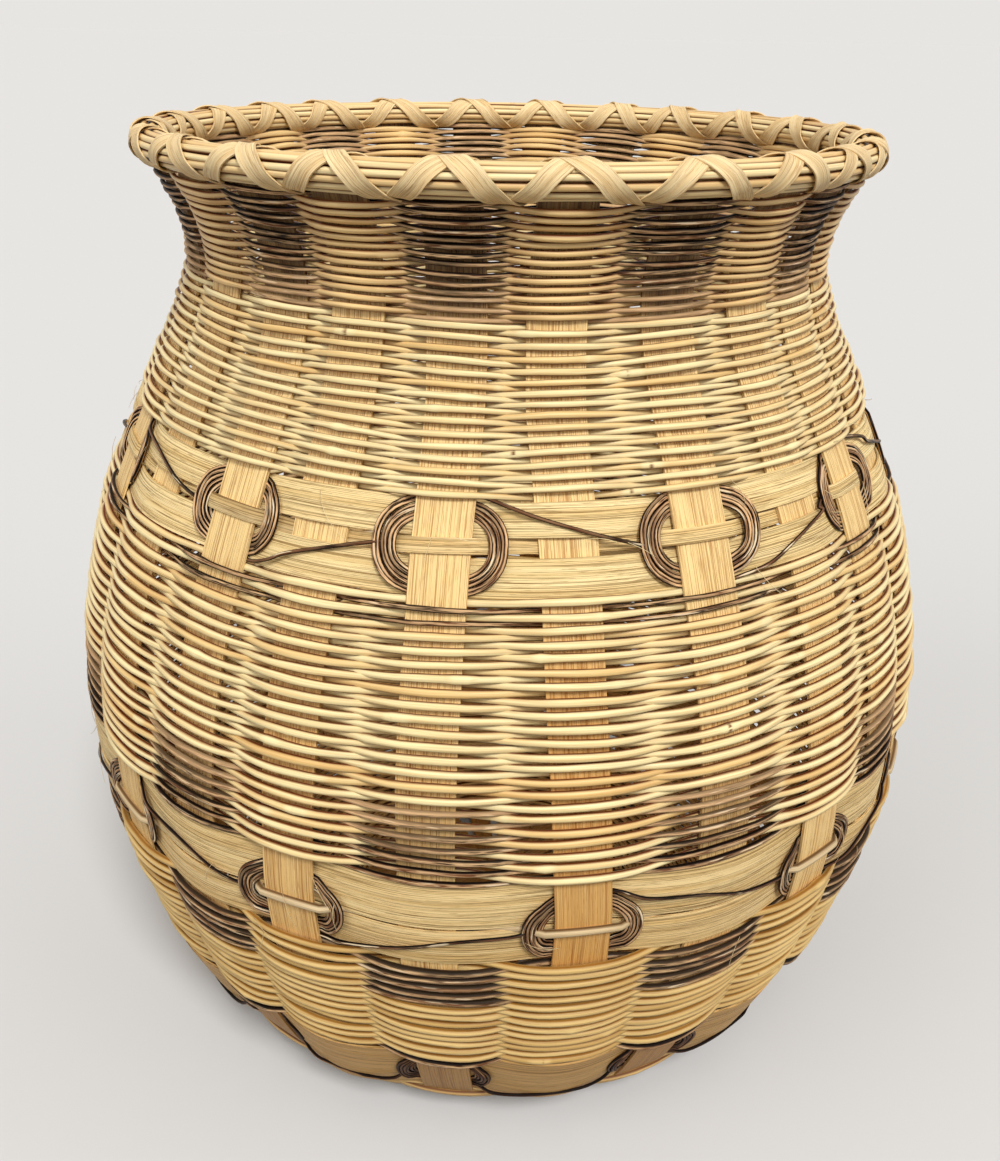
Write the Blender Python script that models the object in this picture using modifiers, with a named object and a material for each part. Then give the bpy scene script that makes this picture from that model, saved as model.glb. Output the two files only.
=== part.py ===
"""Woven basket: a round vase basket of oak splints and vine, built as separate pieces. Metres, +Z up.

The basket stands on z = 0 with its axis on Z. Sizes below are in millimetres and are turned into
metres when vertices are placed. Every piece follows one wall line, the middle of the stakes, which
runs from the middle of the base out, up the wall and over the neck to the rim.
"""
import math

import bmesh
import bpy
from mathutils import Vector

MM = 0.001

# The real object's driving sizes.
STAKE_COUNT = 24
STAKE_STEP = math.radians(360 / STAKE_COUNT)
STAKE_TURN = math.radians(-7.0)  # the stake nearest the front, seen from above
STAKE_THICK = 0.9
STAKE_WIDE = 18.5
STAKE_WIDE_RIM = 16.8
STAKE_WIDE_HUB = 8.6
CLEAR = 0.35  # the play that neighbouring pieces keep
WALL_HALF = 2.6  # from the middle of a stake to the outside of the weavers that pass it
GAP_HALF = 1.2  # the same halfway between two stakes, where the weavers cross the wall line
BAND_THICK = 0.8
TIE_THICK = 0.7
VINE_THICK = 1.5
TIE_VINE_THICK = 1.8
LASH_THICK = 0.6
LASH_WIDE = 7.0

# How far each splint leans from even spacing, in degrees, as the hand-made basket shows.
STAKE_DRIFT = (0.0, 0.0, 1.5, 2.0, 0.5, -0.5, 0.5, -0.5, 0.0, 1.0, 1.5, -0.5)

# The wall line: radius and height of the middle of the stakes.
WALL_LINE = (
    (0, 10.0), (24, 10.0), (42, 9.0), (62, 4.6), (84, 2.6), (101, 2.6), (117, 6.5), (130.5, 20),
    (143.5, 46), (153, 76), (159.8, 104), (162.3, 136), (159.8, 172), (152, 205), (141, 234),
    (128, 261), (116.5, 284), (111.5, 303), (114.5, 320), (120.8, 332.5), (122.8, 345),
)

# Heights of the joints between pieces, from the photo.
HUB_RADIUS = 43.0
BASE_START_RADIUS = 63.0
FLAT_RADII = (84.0, 101.0)  # the ring that the basket stands on
FOOT_BAND = (23.0, 53.0)
LOWER_BAND = (108.0, 141.5)
UPPER_BAND = (227.5, 253.0)
NECK_START = 298.3
NECK_TOP = 328.0
RIM_MIDDLE = 338.0
STAKE_TOP = 341.5

# The rim: a flattened bundle of reeds on each side of the stakes.
RIM_HALF_HIGH = 5.0
RIM_HALF_WIDE = 5.0
RIM_HALF_GAP = 1.7
RIM_CORNER = 2.2
RIM_FACET = 0.35  # how much the bundle's straight facets bulge inwards

# The wide splints and ties: how far from a stake's middle they run straight before they cross over.
FLAT_BEHIND = 12.0
FLAT_FRONT = 10.0
TIE_FRONT = 10.1
TIE_UNDER = 13.3  # here the tie has slipped under the ring's side
TIE_SLACK = 0.1  # the tie's extra play over a stake, and half its extra play under a ring
UPPER_TIE_WIDE = 4.4
UPPER_TIE_GAP = 5.2  # between the two wide splints of the upper band

# The vine rings: half width and half height of the outer turn, and how much the inner turn shrinks.
RING_HALF_WIDE = 18.4
LOWER_RING_HALF_HIGH = 13.6
UPPER_RING_HALF_HIGH = 12.4
RING_SHRINK = 3.6
RING_LOW = -STAKE_THICK / 2 - CLEAR - VINE_THICK / 2
RING_HIGH = 0.6
RING_BEND = 10.7  # how far from the stake's middle the vine stays low
RING_RISE = 2.2  # the width over which it then rises
RING_START = 150.0  # degrees round the ring where the vine arrives

# The vine's run from one ring to the next, over the plain stake between them.
RUN_LEAVE = 0.5  # the height at which it leaves, as a share of the ring's inner half height
RUN_CROSS = 0.4  # and the share of that which is left where it crosses the plain stake
RUN_SIDE = 3.4  # how far beyond the ring's bend it leaves
RUN_LIFT = 1.1  # its play over the ring's turns
RUN_PLAY = 0.1  # its play over the wide splint


def wall_points():
    """The wall line as points about a millimetre apart, by Catmull-Rom arcs through WALL_LINE."""
    knots = [Vector(knot) for knot in WALL_LINE]
    knots = [knots[0] * 2 - knots[1]] + knots + [knots[-1] * 2 - knots[-2]]
    points = []
    for before, start, end, after in zip(knots, knots[1:], knots[2:], knots[3:]):
        steps = max(2, round((end - start).length))
        for step in range(steps):
            t = step / steps
            a = (end - before) * 0.5
            b = (after - start) * 0.5
            points.append(start * (2 * t**3 - 3 * t**2 + 1) + a * (t**3 - 2 * t**2 + t)
                          + end * (3 * t**2 - 2 * t**3) + b * (t**3 - t**2))
    points.append(knots[-2])
    return points


WALL = wall_points()
LENGTHS = [0.0]
for near, far in zip(WALL, WALL[1:]):
    LENGTHS.append(LENGTHS[-1] + (far - near).length)


def wall_at(length):
    """Radius and height at a length along the wall line, and the direction that points outward there."""
    index = next((i for i, value in enumerate(LENGTHS) if value >= length), len(LENGTHS) - 1)
    index = max(index, 1)
    share = (length - LENGTHS[index - 1]) / (LENGTHS[index] - LENGTHS[index - 1])
    place = WALL[index - 1].lerp(WALL[index], share)
    along = WALL[min(index + 3, len(WALL) - 1)] - WALL[max(index - 4, 0)]
    along.normalize()
    return place, Vector((along.y, -along.x))


def length_at_radius(radius):
    return next(LENGTHS[i] for i, place in enumerate(WALL) if place.x > radius - 0.001)


def length_at_height(height):
    return next(LENGTHS[i] for i, place in enumerate(WALL) if place.x > 110 and place.y >= height)


def stake_angle(stake):
    """The angle of a stake round the basket; opposite stakes are two ends of one splint."""
    turn = STAKE_TURN + stake * STAKE_STEP
    return turn + math.radians(STAKE_DRIFT[stake % (STAKE_COUNT // 2)])


def stake_width(length):
    """Splints are narrow where they cross in the base, full in the wall and a little less at the rim."""
    start = length_at_radius(HUB_RADIUS)
    full = length_at_height(FOOT_BAND[0])
    top = LENGTHS[-1]
    if length <= start:
        return STAKE_WIDE_HUB
    if length <= full:
        return STAKE_WIDE_HUB + (STAKE_WIDE - STAKE_WIDE_HUB) * (length - start) / (full - start)
    return STAKE_WIDE + (STAKE_WIDE_RIM - STAKE_WIDE) * (length - full) / (top - full)


def straight_at(length):
    """The same between two stops, along the straight stretch that the stakes have there."""
    above = next((stop for stop in STAKE_STOPS if stop >= length), STAKE_STOPS[-1])
    index = max(STAKE_STOPS.index(above), 1)
    low = STAKE_STOPS[index - 1]
    share = (length - low) / (STAKE_STOPS[index] - low)
    low_place, low_outward = wall_at(low)
    high_place, high_outward = wall_at(STAKE_STOPS[index])
    return low_place.lerp(high_place, share), low_outward.lerp(high_outward, share).normalized()


def in_frame(angle, length, across, out):
    """A point beside a stake: millimetres across it and out from it, at a length along the wall."""
    place, outward = straight_at(length)
    radius = place.x + outward.x * out
    height = place.y + outward.y * out
    facing = Vector((math.sin(angle), -math.cos(angle), 0))
    sideways = Vector((math.cos(angle), math.sin(angle), 0))
    return (facing * radius + sideways * across + Vector((0, 0, height))) * MM


# The lengths along the wall at which pieces start, end and bend, shared so that neighbours match.
HUB = length_at_radius(HUB_RADIUS)
BASE_STOPS = [length_at_radius(BASE_START_RADIUS)] + [length_at_radius(radius) for radius in FLAT_RADII]
FOOT_STOPS = [length_at_height(height) for height in (8.0,) + FOOT_BAND]
LOWER_STOPS = [length_at_height(height) for height in (82.0, LOWER_BAND[0])]
MIDDLE_STOPS = [length_at_height(height) for height in (LOWER_BAND[1], 186.0, UPPER_BAND[0])]
UPPER_STOPS = [length_at_height(height) for height in (UPPER_BAND[1], 276.0, NECK_START)]
NECK_STOPS = [length_at_height(height) for height in (314.0, NECK_TOP)]
STAKE_STOPS = ([0.0, HUB] + BASE_STOPS + FOOT_STOPS + LOWER_STOPS + MIDDLE_STOPS + UPPER_STOPS
               + NECK_STOPS + [length_at_height(STAKE_TOP)])


def clear_scene():
    """Removes what the file holds, so that the script can run twice."""
    for thing in list(bpy.data.objects):
        bpy.data.objects.remove(thing, do_unlink=True)


def new_collection(name):
    group = bpy.data.collections.new(name)
    bpy.context.scene.collection.children.link(group)
    return group


def material(name, colour, roughness):
    """A plain material with the piece's colour from the photo."""
    made = bpy.data.materials.get(name) or bpy.data.materials.new(name)
    made.use_nodes = True
    shader = made.node_tree.nodes["Principled BSDF"]
    shader.inputs["Base Color"].default_value = (*colour, 1)
    shader.inputs["Roughness"].default_value = roughness
    shader.inputs["Metallic"].default_value = 0
    made.diffuse_color = (*colour, 1)
    return made


def add_mesh(name, shape, look, group):
    """Turns a bmesh into a named object."""
    mesh = bpy.data.meshes.new(name)
    bmesh.ops.recalc_face_normals(shape, faces=shape.faces)
    shape.to_mesh(mesh)
    shape.free()
    thing = bpy.data.objects.new(name, mesh)
    thing.data.materials.append(look)
    group.objects.link(thing)
    return thing


def thicken(thing, thickness):
    """Gives a strip its thickness, half to each side."""
    solid = thing.modifiers.new("thickness", "SOLIDIFY")
    solid.thickness = thickness * MM
    solid.offset = 0
    solid.use_even_offset = True
    return thing


def strip(name, edges, thickness, look, group, closed):
    """A flat strip: a grid whose two long edges are laid on the given points, then thickened."""
    count = len(edges)
    shape = bmesh.new()
    if closed:
        bmesh.ops.create_cone(shape, cap_ends=False, segments=count, radius1=1, radius2=1, depth=1)
        shape.verts.ensure_lookup_table()
        order = sorted(shape.verts, key=lambda vert: (math.atan2(vert.co.y, vert.co.x), vert.co.z))
    else:
        bmesh.ops.create_grid(shape, x_segments=1, y_segments=count - 1, size=1)
        order = sorted(shape.verts, key=lambda vert: (round(vert.co.y, 5), vert.co.x))
    for index, pair in enumerate(edges):
        order[2 * index].co = pair[0]
        order[2 * index + 1].co = pair[1]
    return thicken(add_mesh(name, shape, look, group), thickness)


def build_splint(number, look, group):
    """One long splint: down one side of the wall, through the hub at its own layer, and up the other."""
    layers = STAKE_COUNT // 2
    lift = (number - (layers - 1) / 2) * (STAKE_THICK + CLEAR)
    edges = []
    for side in (1, -1):
        angle = stake_angle(number) if side > 0 else stake_angle(number) + math.pi
        stops = STAKE_STOPS if side < 0 else list(reversed(STAKE_STOPS))
        for stop in stops:
            if stop == 0.0 and side < 0:
                continue
            half = stake_width(stop) / 2
            left = in_frame(angle, stop, -half * side, 0)
            right = in_frame(angle, stop, half * side, 0)
            if stop <= HUB:
                left.z += lift * MM
                right.z += lift * MM
            edges.append((left, right))
    return strip(f"splint_{number + 1:02d}", edges, STAKE_THICK, look, group, closed=False)


def build_weave(name, stops, waved, look, group):
    """A woven part of the wall: a closed shell with a groove for each stake, lofted up the wall.

    A waved one also dips between the stakes on its outside, as its weavers do.
    """
    shape = bmesh.new()
    outer_loops = []
    inner_loops = []
    for stop in stops:
        half = stake_width(stop) / 2 + CLEAR
        outer = []
        inner = []
        for stake in range(STAKE_COUNT):
            angle = stake_angle(stake)
            place, outward = wall_at(stop)
            reach = place.x + WALL_HALF
            drop = outward.x * (reach - math.sqrt(reach * reach - half * half))
            floor = -STAKE_THICK / 2 - CLEAR
            lip = WALL_HALF - drop
            for across, out in ((-half, lip), (-half, floor), (half, floor), (half, lip)):
                outer.append(shape.verts.new(in_frame(angle, stop, across, out)))
            middle = (angle + stake_angle(stake + 1)) / 2
            if waved:
                outer.append(shape.verts.new(in_frame(middle, stop, 0, GAP_HALF)))
            inner.append(shape.verts.new(in_frame(angle, stop, 0, -WALL_HALF)))
            inner.append(shape.verts.new(in_frame(middle, stop, 0, -GAP_HALF)))
        outer_loops.append(outer)
        inner_loops.append(inner)
    for loops in (outer_loops, inner_loops):
        for near_loop, far_loop in zip(loops, loops[1:]):
            loft(shape, near_loop, far_loop)
    for outer, inner in ((outer_loops[0], inner_loops[0]), (outer_loops[-1], inner_loops[-1])):
        close_end(shape, outer, inner)
    return add_mesh(name, shape, look, group)


def loft(shape, near_loop, far_loop):
    """Joins two loops corner by corner, because bridge_loops turns loops that have grooves."""
    for index in range(len(near_loop)):
        shape.faces.new((near_loop[index - 1], near_loop[index], far_loop[index], far_loop[index - 1]))


def close_end(shape, outer, inner):
    """Closes an end of a woven shell: its outer loop has four or five corners a stake, its inner two."""
    corners = len(outer) // STAKE_COUNT
    for stake in range(STAKE_COUNT):
        first = corners * stake
        before = outer[first - 1]
        left, floor_left, floor_right, right = outer[first:first + 4]
        behind = inner[2 * stake]
        gap_before = inner[2 * stake - 1]
        gap_after = inner[2 * stake + 1]
        shape.faces.new((before, left, gap_before))
        shape.faces.new((left, floor_left, behind, gap_before))
        shape.faces.new((floor_left, floor_right, behind))
        shape.faces.new((floor_right, right, gap_after, behind))
        if corners == 5:
            shape.faces.new((right, outer[first + 4], gap_after))


def close_loop(shape, verts):
    """The edges of a closed loop through the given vertices."""
    return [shape.edges.new((near, far)) for near, far in zip(verts, verts[1:] + verts[:1])]


def hoop_edges(stops, first_stake, ring_points, plain_points):
    """A strip round the basket: points beside a ring stake, then beside the plain stake after it."""
    edges = []
    for step in range(STAKE_COUNT):
        stake = first_stake + step
        angle = stake_angle(stake)
        points = ring_points if step % 2 == 0 else plain_points
        for across, out in points:
            edges.append((in_frame(angle, stops[0], across, out), in_frame(angle, stops[1], across, out)))
    return edges


def build_wide_splint(name, stops, first_stake, look, group):
    """A wide band splint: behind the rings and the ring stakes, in front of the plain stakes."""
    behind = RING_LOW - VINE_THICK / 2 - CLEAR - BAND_THICK / 2
    front = STAKE_THICK / 2 + CLEAR + BAND_THICK / 2
    ring_points = ((-FLAT_BEHIND, behind), (FLAT_BEHIND, behind))
    plain_points = ((-FLAT_FRONT, front), (FLAT_FRONT, front))
    edges = hoop_edges(stops, first_stake, ring_points, plain_points)
    return strip(name, edges, BAND_THICK, look, group, closed=True)


def build_tie(name, stops, first_stake, thickness, look, group):
    """The tie: in front of each ring stake, down through the ring, and behind the plain stakes."""
    front = STAKE_THICK / 2 + CLEAR + thickness / 2 + TIE_SLACK
    under_ring = RING_HIGH - VINE_THICK / 2 - CLEAR - thickness / 2 - 2 * TIE_SLACK
    ring_points = ((-TIE_UNDER, under_ring), (-TIE_FRONT, front), (TIE_FRONT, front), (TIE_UNDER, under_ring))
    plain_points = ((-FLAT_FRONT, -front), (FLAT_FRONT, -front))
    edges = hoop_edges(stops, first_stake, ring_points, plain_points)
    return strip(name, edges, thickness, look, group, closed=True)


def ring_point(angle, middle, degrees, half_high, upside):
    """A point on a vine ring, which slips under its stake and rises beside it."""
    shrink = RING_SHRINK * (RING_START - degrees) / 360
    across = (RING_HALF_WIDE - shrink) * math.cos(math.radians(degrees))
    along = (half_high - shrink) * math.sin(math.radians(degrees)) * upside
    rise = min(max((abs(across) - RING_BEND) / RING_RISE, 0), 1)
    return in_frame(angle, middle + along, across, RING_LOW + (RING_HIGH - RING_LOW) * rise)


def ring_angles():
    """The angles of a ring's points: close together where the vine comes out from under the stake."""
    angles = [RING_START]
    for side in (180, 0, -180, -360):
        half_wide = RING_HALF_WIDE - RING_SHRINK * (RING_START - side) / 360
        bend = math.degrees(math.acos(RING_BEND / half_wide))
        angles += [side + bend, side + 0.35 * bend, side - 0.35 * bend, side - bend, side - 90]
    last = angles[-5]
    return [degrees for degrees in angles if last <= degrees <= RING_START]


def build_ring_vine(name, middle, half_high, first_stake, look, group):
    """One vine that winds a ring of a turn and a third at every second stake and runs on to the next."""
    points = []
    for step in range(0, STAKE_COUNT, 2):
        stake = first_stake + step
        angle = stake_angle(stake)
        upside = 1 if step % 4 == 0 else -1
        points += [ring_point(angle, middle, degrees, half_high, upside) for degrees in ring_angles()]
        lifted = RING_HIGH + VINE_THICK + CLEAR + RUN_LIFT
        leave = (half_high - RING_SHRINK) * RUN_LEAVE * upside
        points.append(in_frame(angle, middle + leave, RING_BEND + RUN_SIDE, lifted))
        over = STAKE_THICK / 2 + CLEAR + BAND_THICK + CLEAR + VINE_THICK / 2 + RUN_PLAY
        plain = stake_angle(stake + 1)
        points.append(in_frame(plain, middle + leave * RUN_CROSS, -FLAT_FRONT, over))
        points.append(in_frame(plain, middle - leave * RUN_CROSS, FLAT_FRONT, over))
    route = bpy.data.curves.new(name, "CURVE")
    route.dimensions = "3D"
    route.bevel_depth = VINE_THICK / 2 * MM
    route.bevel_resolution = 1
    route.use_fill_caps = True
    spline = route.splines.new("POLY")
    spline.points.add(len(points) - 1)
    for place, point in zip(spline.points, points):
        place.co = (*point, 1)
    spline.use_cyclic_u = True
    thing = bpy.data.objects.new(name, route)
    thing.data.materials.append(look)
    group.objects.link(thing)
    print(f"{name}: least gap to itself {least_gap(points) / MM - VINE_THICK:.2f} mm")
    return thing


def least_gap(points):
    """The least distance between stretches of a closed route that are over 8 mm apart along it."""
    fine = []
    for near, far in zip(points, points[1:] + points[:1]):
        fine += [near.lerp(far, part / 6) for part in range(6)]
    least = 1.0
    for first in range(len(fine)):
        travelled = 0.0
        for second in range(first + 1, min(first + 260, len(fine))):
            travelled += (fine[second] - fine[second - 1]).length
            if travelled > 0.008:
                least = min(least, (fine[first] - fine[second]).length)
    return least


def rim_point(angle, out, up):
    """A point of the rim's cross section, in millimetres; the rim leans outward with the stakes' tops."""
    low = wall_at(STAKE_STOPS[-2])[0]
    top = wall_at(STAKE_STOPS[-1])[0]
    height = RIM_MIDDLE + up
    radius = low.lerp(top, (height - low.y) / (top.y - low.y)).x + out
    return Vector((math.sin(angle) * radius, -math.cos(angle) * radius, height))


def build_reeds(name, side, look, group):
    """The rim's bundle of reeds on one side of the stakes: a turned shape with a flat inner face."""
    high = RIM_HALF_HIGH
    flat = RIM_HALF_WIDE - RIM_CORNER
    outline = ((RIM_HALF_GAP, -high), (flat, -high), (RIM_HALF_WIDE, 0), (flat, high), (RIM_HALF_GAP, high))
    shape = bmesh.new()
    verts = [shape.verts.new(rim_point(0, side * out, up) * MM) for out, up in outline]
    close_loop(shape, verts)
    mesh = bpy.data.meshes.new(name)
    shape.to_mesh(mesh)
    shape.free()
    thing = bpy.data.objects.new(name, mesh)
    thing.data.materials.append(look)
    group.objects.link(thing)
    turned = thing.modifiers.new("turned", "SCREW")
    turned.steps = 2 * STAKE_COUNT
    turned.render_steps = 2 * STAKE_COUNT
    turned.use_merge_vertices = True
    turned.merge_threshold = 0.00001
    turned.use_normal_calculate = True
    turned.use_normal_flip = side < 0
    return thing


def build_lashing(name, turn, layer, look, group):
    """A lashing splint: it goes once round the rim for each stake, and meets the other over each stake."""
    off = CLEAR + LASH_THICK / 2 + layer * (LASH_THICK + 2 * CLEAR)
    wide = RIM_HALF_WIDE + off
    high = RIM_HALF_HIGH + off
    inner = -wide - RIM_FACET
    outline = ((wide - RIM_CORNER, high, 68), (wide, 0, 0), (wide - RIM_CORNER, -high, -68),
               (inner + RIM_CORNER, -high, -112), (inner, 0, -180), (inner + RIM_CORNER, high, -248))
    wraps = []
    for stake in range(STAKE_COUNT):
        here = stake_angle(stake)
        there = stake_angle(stake + turn)
        wrap = []
        for out, up, degrees in outline:
            angle = here + (there - here) * (90 - degrees) / 360
            sideways = Vector((math.cos(angle), math.sin(angle), 0)) * LASH_WIDE / 2
            centre = rim_point(angle, out, up)
            wrap.append(((centre - sideways) * MM, (centre + sideways) * MM))
        wraps.append(wrap)
    if turn < 0:
        wraps = [wraps[0]] + list(reversed(wraps[1:]))
    edges = [edge for wrap in wraps for edge in wrap]
    return strip(name, edges, LASH_THICK, look, group, closed=True)


def band_split(band, gap):
    """The two wide splints of a band, as lengths along the wall, with a gap for the tie between them."""
    low = length_at_height(band[0]) + CLEAR
    high = length_at_height(band[1]) - CLEAR
    middle = (low + high) / 2
    return (low, middle - gap / 2), (middle + gap / 2, high), middle


def build_basket():
    """Makes every piece."""
    clear_scene()
    basket = new_collection("woven_basket")
    oak = material("oak_splint", (0.78, 0.55, 0.27), 0.6)
    pale_oak = material("pale_oak_splint", (0.85, 0.68, 0.38), 0.6)
    reed = material("light_reed", (0.86, 0.68, 0.36), 0.55)
    tan = material("tan_weave", (0.80, 0.58, 0.27), 0.6)
    walnut = material("dark_weave", (0.22, 0.13, 0.09), 0.6)
    bark = material("dark_vine", (0.16, 0.09, 0.06), 0.75)
    lash = material("lashing_splint", (0.84, 0.63, 0.33), 0.55)
    for number in range(STAKE_COUNT // 2):
        build_splint(number, oak, basket)
    build_weave("base_weave", BASE_STOPS + FOOT_STOPS[:2], False, tan, basket)
    foot = (length_at_height(FOOT_BAND[0]) + CLEAR, length_at_height(FOOT_BAND[1]) - CLEAR)
    build_wide_splint("foot_band_splint", foot, 0, pale_oak, basket)
    build_weave("lower_weave", [FOOT_STOPS[2]] + LOWER_STOPS, True, reed, basket)
    low, high, middle = band_split(LOWER_BAND, TIE_VINE_THICK + 2 * CLEAR)
    build_wide_splint("lower_band_splint_low", low, 1, pale_oak, basket)
    build_wide_splint("lower_band_splint_high", high, 1, pale_oak, basket)
    tie = TIE_VINE_THICK / 2
    build_tie("lower_tie_vine", (middle - tie, middle + tie), 1, TIE_THICK, pale_oak, basket)
    build_ring_vine("lower_ring_vine", middle, LOWER_RING_HALF_HIGH, 1, bark, basket)
    build_weave("middle_weave", MIDDLE_STOPS, True, reed, basket)
    low, high, middle = band_split(UPPER_BAND, UPPER_TIE_GAP)
    build_wide_splint("upper_band_splint_low", low, 0, pale_oak, basket)
    build_wide_splint("upper_band_splint_high", high, 0, pale_oak, basket)
    tie = UPPER_TIE_WIDE / 2
    build_tie("upper_tie_splint", (middle - tie, middle + tie), 0, TIE_THICK, pale_oak, basket)
    build_ring_vine("upper_ring_vine", middle, UPPER_RING_HALF_HIGH, 0, bark, basket)
    build_weave("upper_weave", UPPER_STOPS, False, reed, basket)
    build_weave("neck_weave", [UPPER_STOPS[-1] + CLEAR] + NECK_STOPS, False, walnut, basket)
    build_reeds("rim_reeds_outer", 1, reed, basket)
    build_reeds("rim_reeds_inner", -1, reed, basket)
    build_lashing("rim_lashing_under", -1, 0, lash, basket)
    build_lashing("rim_lashing_over", 1, 1, lash, basket)


build_basket()
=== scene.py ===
# %% [markdown]
# # A woven vase basket
#
# This basket is made of flat split-oak stakes, round weavers, three bands of wide splints with coiled vine
# rings, and a rim of reeds that two thin splints lash down. It could be modelled as one smooth vase with a
# weave painted on, but a basket is judged by its strands: each one casts a shadow on the next. So every
# strand here is a real tube or strip that follows a path, and the paths are worked out from a few sizes.

# %% Load the solid model and the tools
import math

import bmesh
import bpy
import numpy as np
from mathutils import Matrix


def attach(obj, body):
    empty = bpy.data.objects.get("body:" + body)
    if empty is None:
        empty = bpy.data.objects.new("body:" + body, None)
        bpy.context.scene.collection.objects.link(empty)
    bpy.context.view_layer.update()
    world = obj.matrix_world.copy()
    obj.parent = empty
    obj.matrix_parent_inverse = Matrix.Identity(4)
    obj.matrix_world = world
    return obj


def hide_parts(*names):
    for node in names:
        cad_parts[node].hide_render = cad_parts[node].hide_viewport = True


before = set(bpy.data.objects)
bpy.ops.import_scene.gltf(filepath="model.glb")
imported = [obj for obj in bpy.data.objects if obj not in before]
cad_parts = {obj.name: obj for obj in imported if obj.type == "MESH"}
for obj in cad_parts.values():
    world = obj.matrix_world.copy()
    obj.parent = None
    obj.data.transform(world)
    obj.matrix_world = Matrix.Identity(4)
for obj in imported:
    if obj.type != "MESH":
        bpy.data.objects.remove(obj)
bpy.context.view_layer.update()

print("the solid model has", len(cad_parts), "pieces")

# %% [markdown]
# ## The wall line
#
# Seen from the side, the middle of every stake follows one line: out from the middle of the base, up over
# the belly, in to the neck and out to the rim. A basket maker shapes it by pulling the weavers tighter or
# looser. Here it is a smooth curve through a few points, measured along its length, so that "the next row
# up" is always one row's height further along it.

# %% The wall line
MM = 0.001
WALL_KNOTS = (  # radius and height, in millimetres
    (0, 10.0), (24, 10.0), (42, 9.0), (62, 4.6), (84, 2.6), (101, 2.6), (117, 6.5), (130.5, 20),
    (143.5, 46), (153, 76), (159.8, 104), (162.3, 136), (159.8, 172), (152, 205), (141, 234),
    (128, 261), (116.5, 284), (111.5, 303), (114.5, 320), (120.8, 332.5), (122.8, 345),
)


def smooth_line(knots, steps=16):
    """Points on a Catmull-Rom curve through the knots."""
    knots = np.array(knots, float)
    knots = np.vstack([2 * knots[0] - knots[1], knots, 2 * knots[-1] - knots[-2]])
    t = np.linspace(0, 1, steps, endpoint=False)[:, None]
    pieces = []
    for before, start, end, after in zip(knots, knots[1:], knots[2:], knots[3:]):
        a, b = (end - before) / 2, (after - start) / 2
        pieces.append(start * (2 * t**3 - 3 * t**2 + 1) + a * (t**3 - 2 * t**2 + t)
                      + end * (3 * t**2 - 2 * t**3) + b * (t**3 - t**2))
    return np.vstack(pieces + [knots[-2:-1]])


def reach_of(points):
    """How far along a line of points each one is."""
    return np.concatenate([[0], np.cumsum(np.linalg.norm(np.diff(points, axis=0), axis=1))])


WALL = smooth_line(WALL_KNOTS) * MM
WALL_LENGTH = reach_of(WALL)
WALL_ALONG = np.gradient(WALL, WALL_LENGTH, axis=0)
WALL_ALONG /= np.linalg.norm(WALL_ALONG, axis=1)[:, None]
TO_BELLY = 200  # over these first points of the line its radius only grows
WALL_SIDE = WALL[:, 0] > 0.110  # outside this radius the line stands up, so a height has one place on it


def at_height(height):
    """The length along the wall line at a height, in millimetres."""
    return float(np.interp(height * MM, WALL[WALL_SIDE, 1], WALL_LENGTH[WALL_SIDE]))


def at_radius(radius):
    """The length along the wall line at a radius in the base, in millimetres."""
    return float(np.interp(radius * MM, WALL[:TO_BELLY, 0], WALL_LENGTH[:TO_BELLY]))


def wall_at(length):
    """Radius, height, and the directions along the wall and out of it, each as (radius, height)."""
    place = [np.interp(length, WALL_LENGTH, WALL[:, i]) for i in (0, 1)]
    along = [np.interp(length, WALL_LENGTH, WALL_ALONG[:, i]) for i in (0, 1)]
    return place[0], place[1], along, (along[1], -np.asarray(along[0]))


print("the wall line is", round(float(WALL_LENGTH[-1]) * 1000), "mm long")

# %% [markdown]
# ## Where the stakes stand
#
# Twenty-four stakes stand round the wall, fifteen degrees apart. They could stand exactly so, but a hand sets
# them, and each one drifts a degree or two and leans on its way up. Everything else on the basket takes its
# place from the stakes: place 3 is the fourth stake, and place 3.5 is halfway to the fifth.

# %% The stakes' places
STAKES = 24
FIRST_STAKE = math.radians(-7.0)  # it stands a little left of the front
DRIFT = (0.0, 0.0, 1.5, 2.0, 0.5, -0.5, 0.5, -0.5, 0.0, 1.0, 1.5, -0.5)  # degrees, both ends of each splint
# How far each stake leans from its place, in degrees, at six heights. The front ones are as measured.
LEAN_HEIGHTS = (38, 127, 185, 240, 276, 310)
LEAN = np.random.default_rng(7).normal(0, 0.5, (STAKES, 6))
FRONT_LEANS = {
    20: (-0.4, -1.0, -0.6, 0.0, 0.0, 0.0), 21: (-0.6, -1.1, -0.5, 0.0, 0.0, 0.0),
    22: (-0.7, -1.4, -0.7, 0.2, 0.5, 0.0), 23: (-0.5, -0.85, -0.2, 0.3, 0.6, 0.5),
    0: (0.3, -0.3, -0.2, 0.0, 0.6, 0.0), 1: (1.5, 1.9, 0.7, 0.0, -1.0, -0.4),
    2: (0.2, 1.35, 1.0, 0.6, 0.3, 0.0), 3: (1.0, 1.6, 1.3, 1.1, 0.3, 0.0), 4: (0.4, 1.0, 0.8, 0.5, 0.0, 0.0),
}
for stake, leans in FRONT_LEANS.items():
    LEAN[stake] = leans
LEAN_FROM, LEAN_OVER = 0.045, 0.06  # the hub doesn't lean: the lean sets in over 60 mm of the splint


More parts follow.
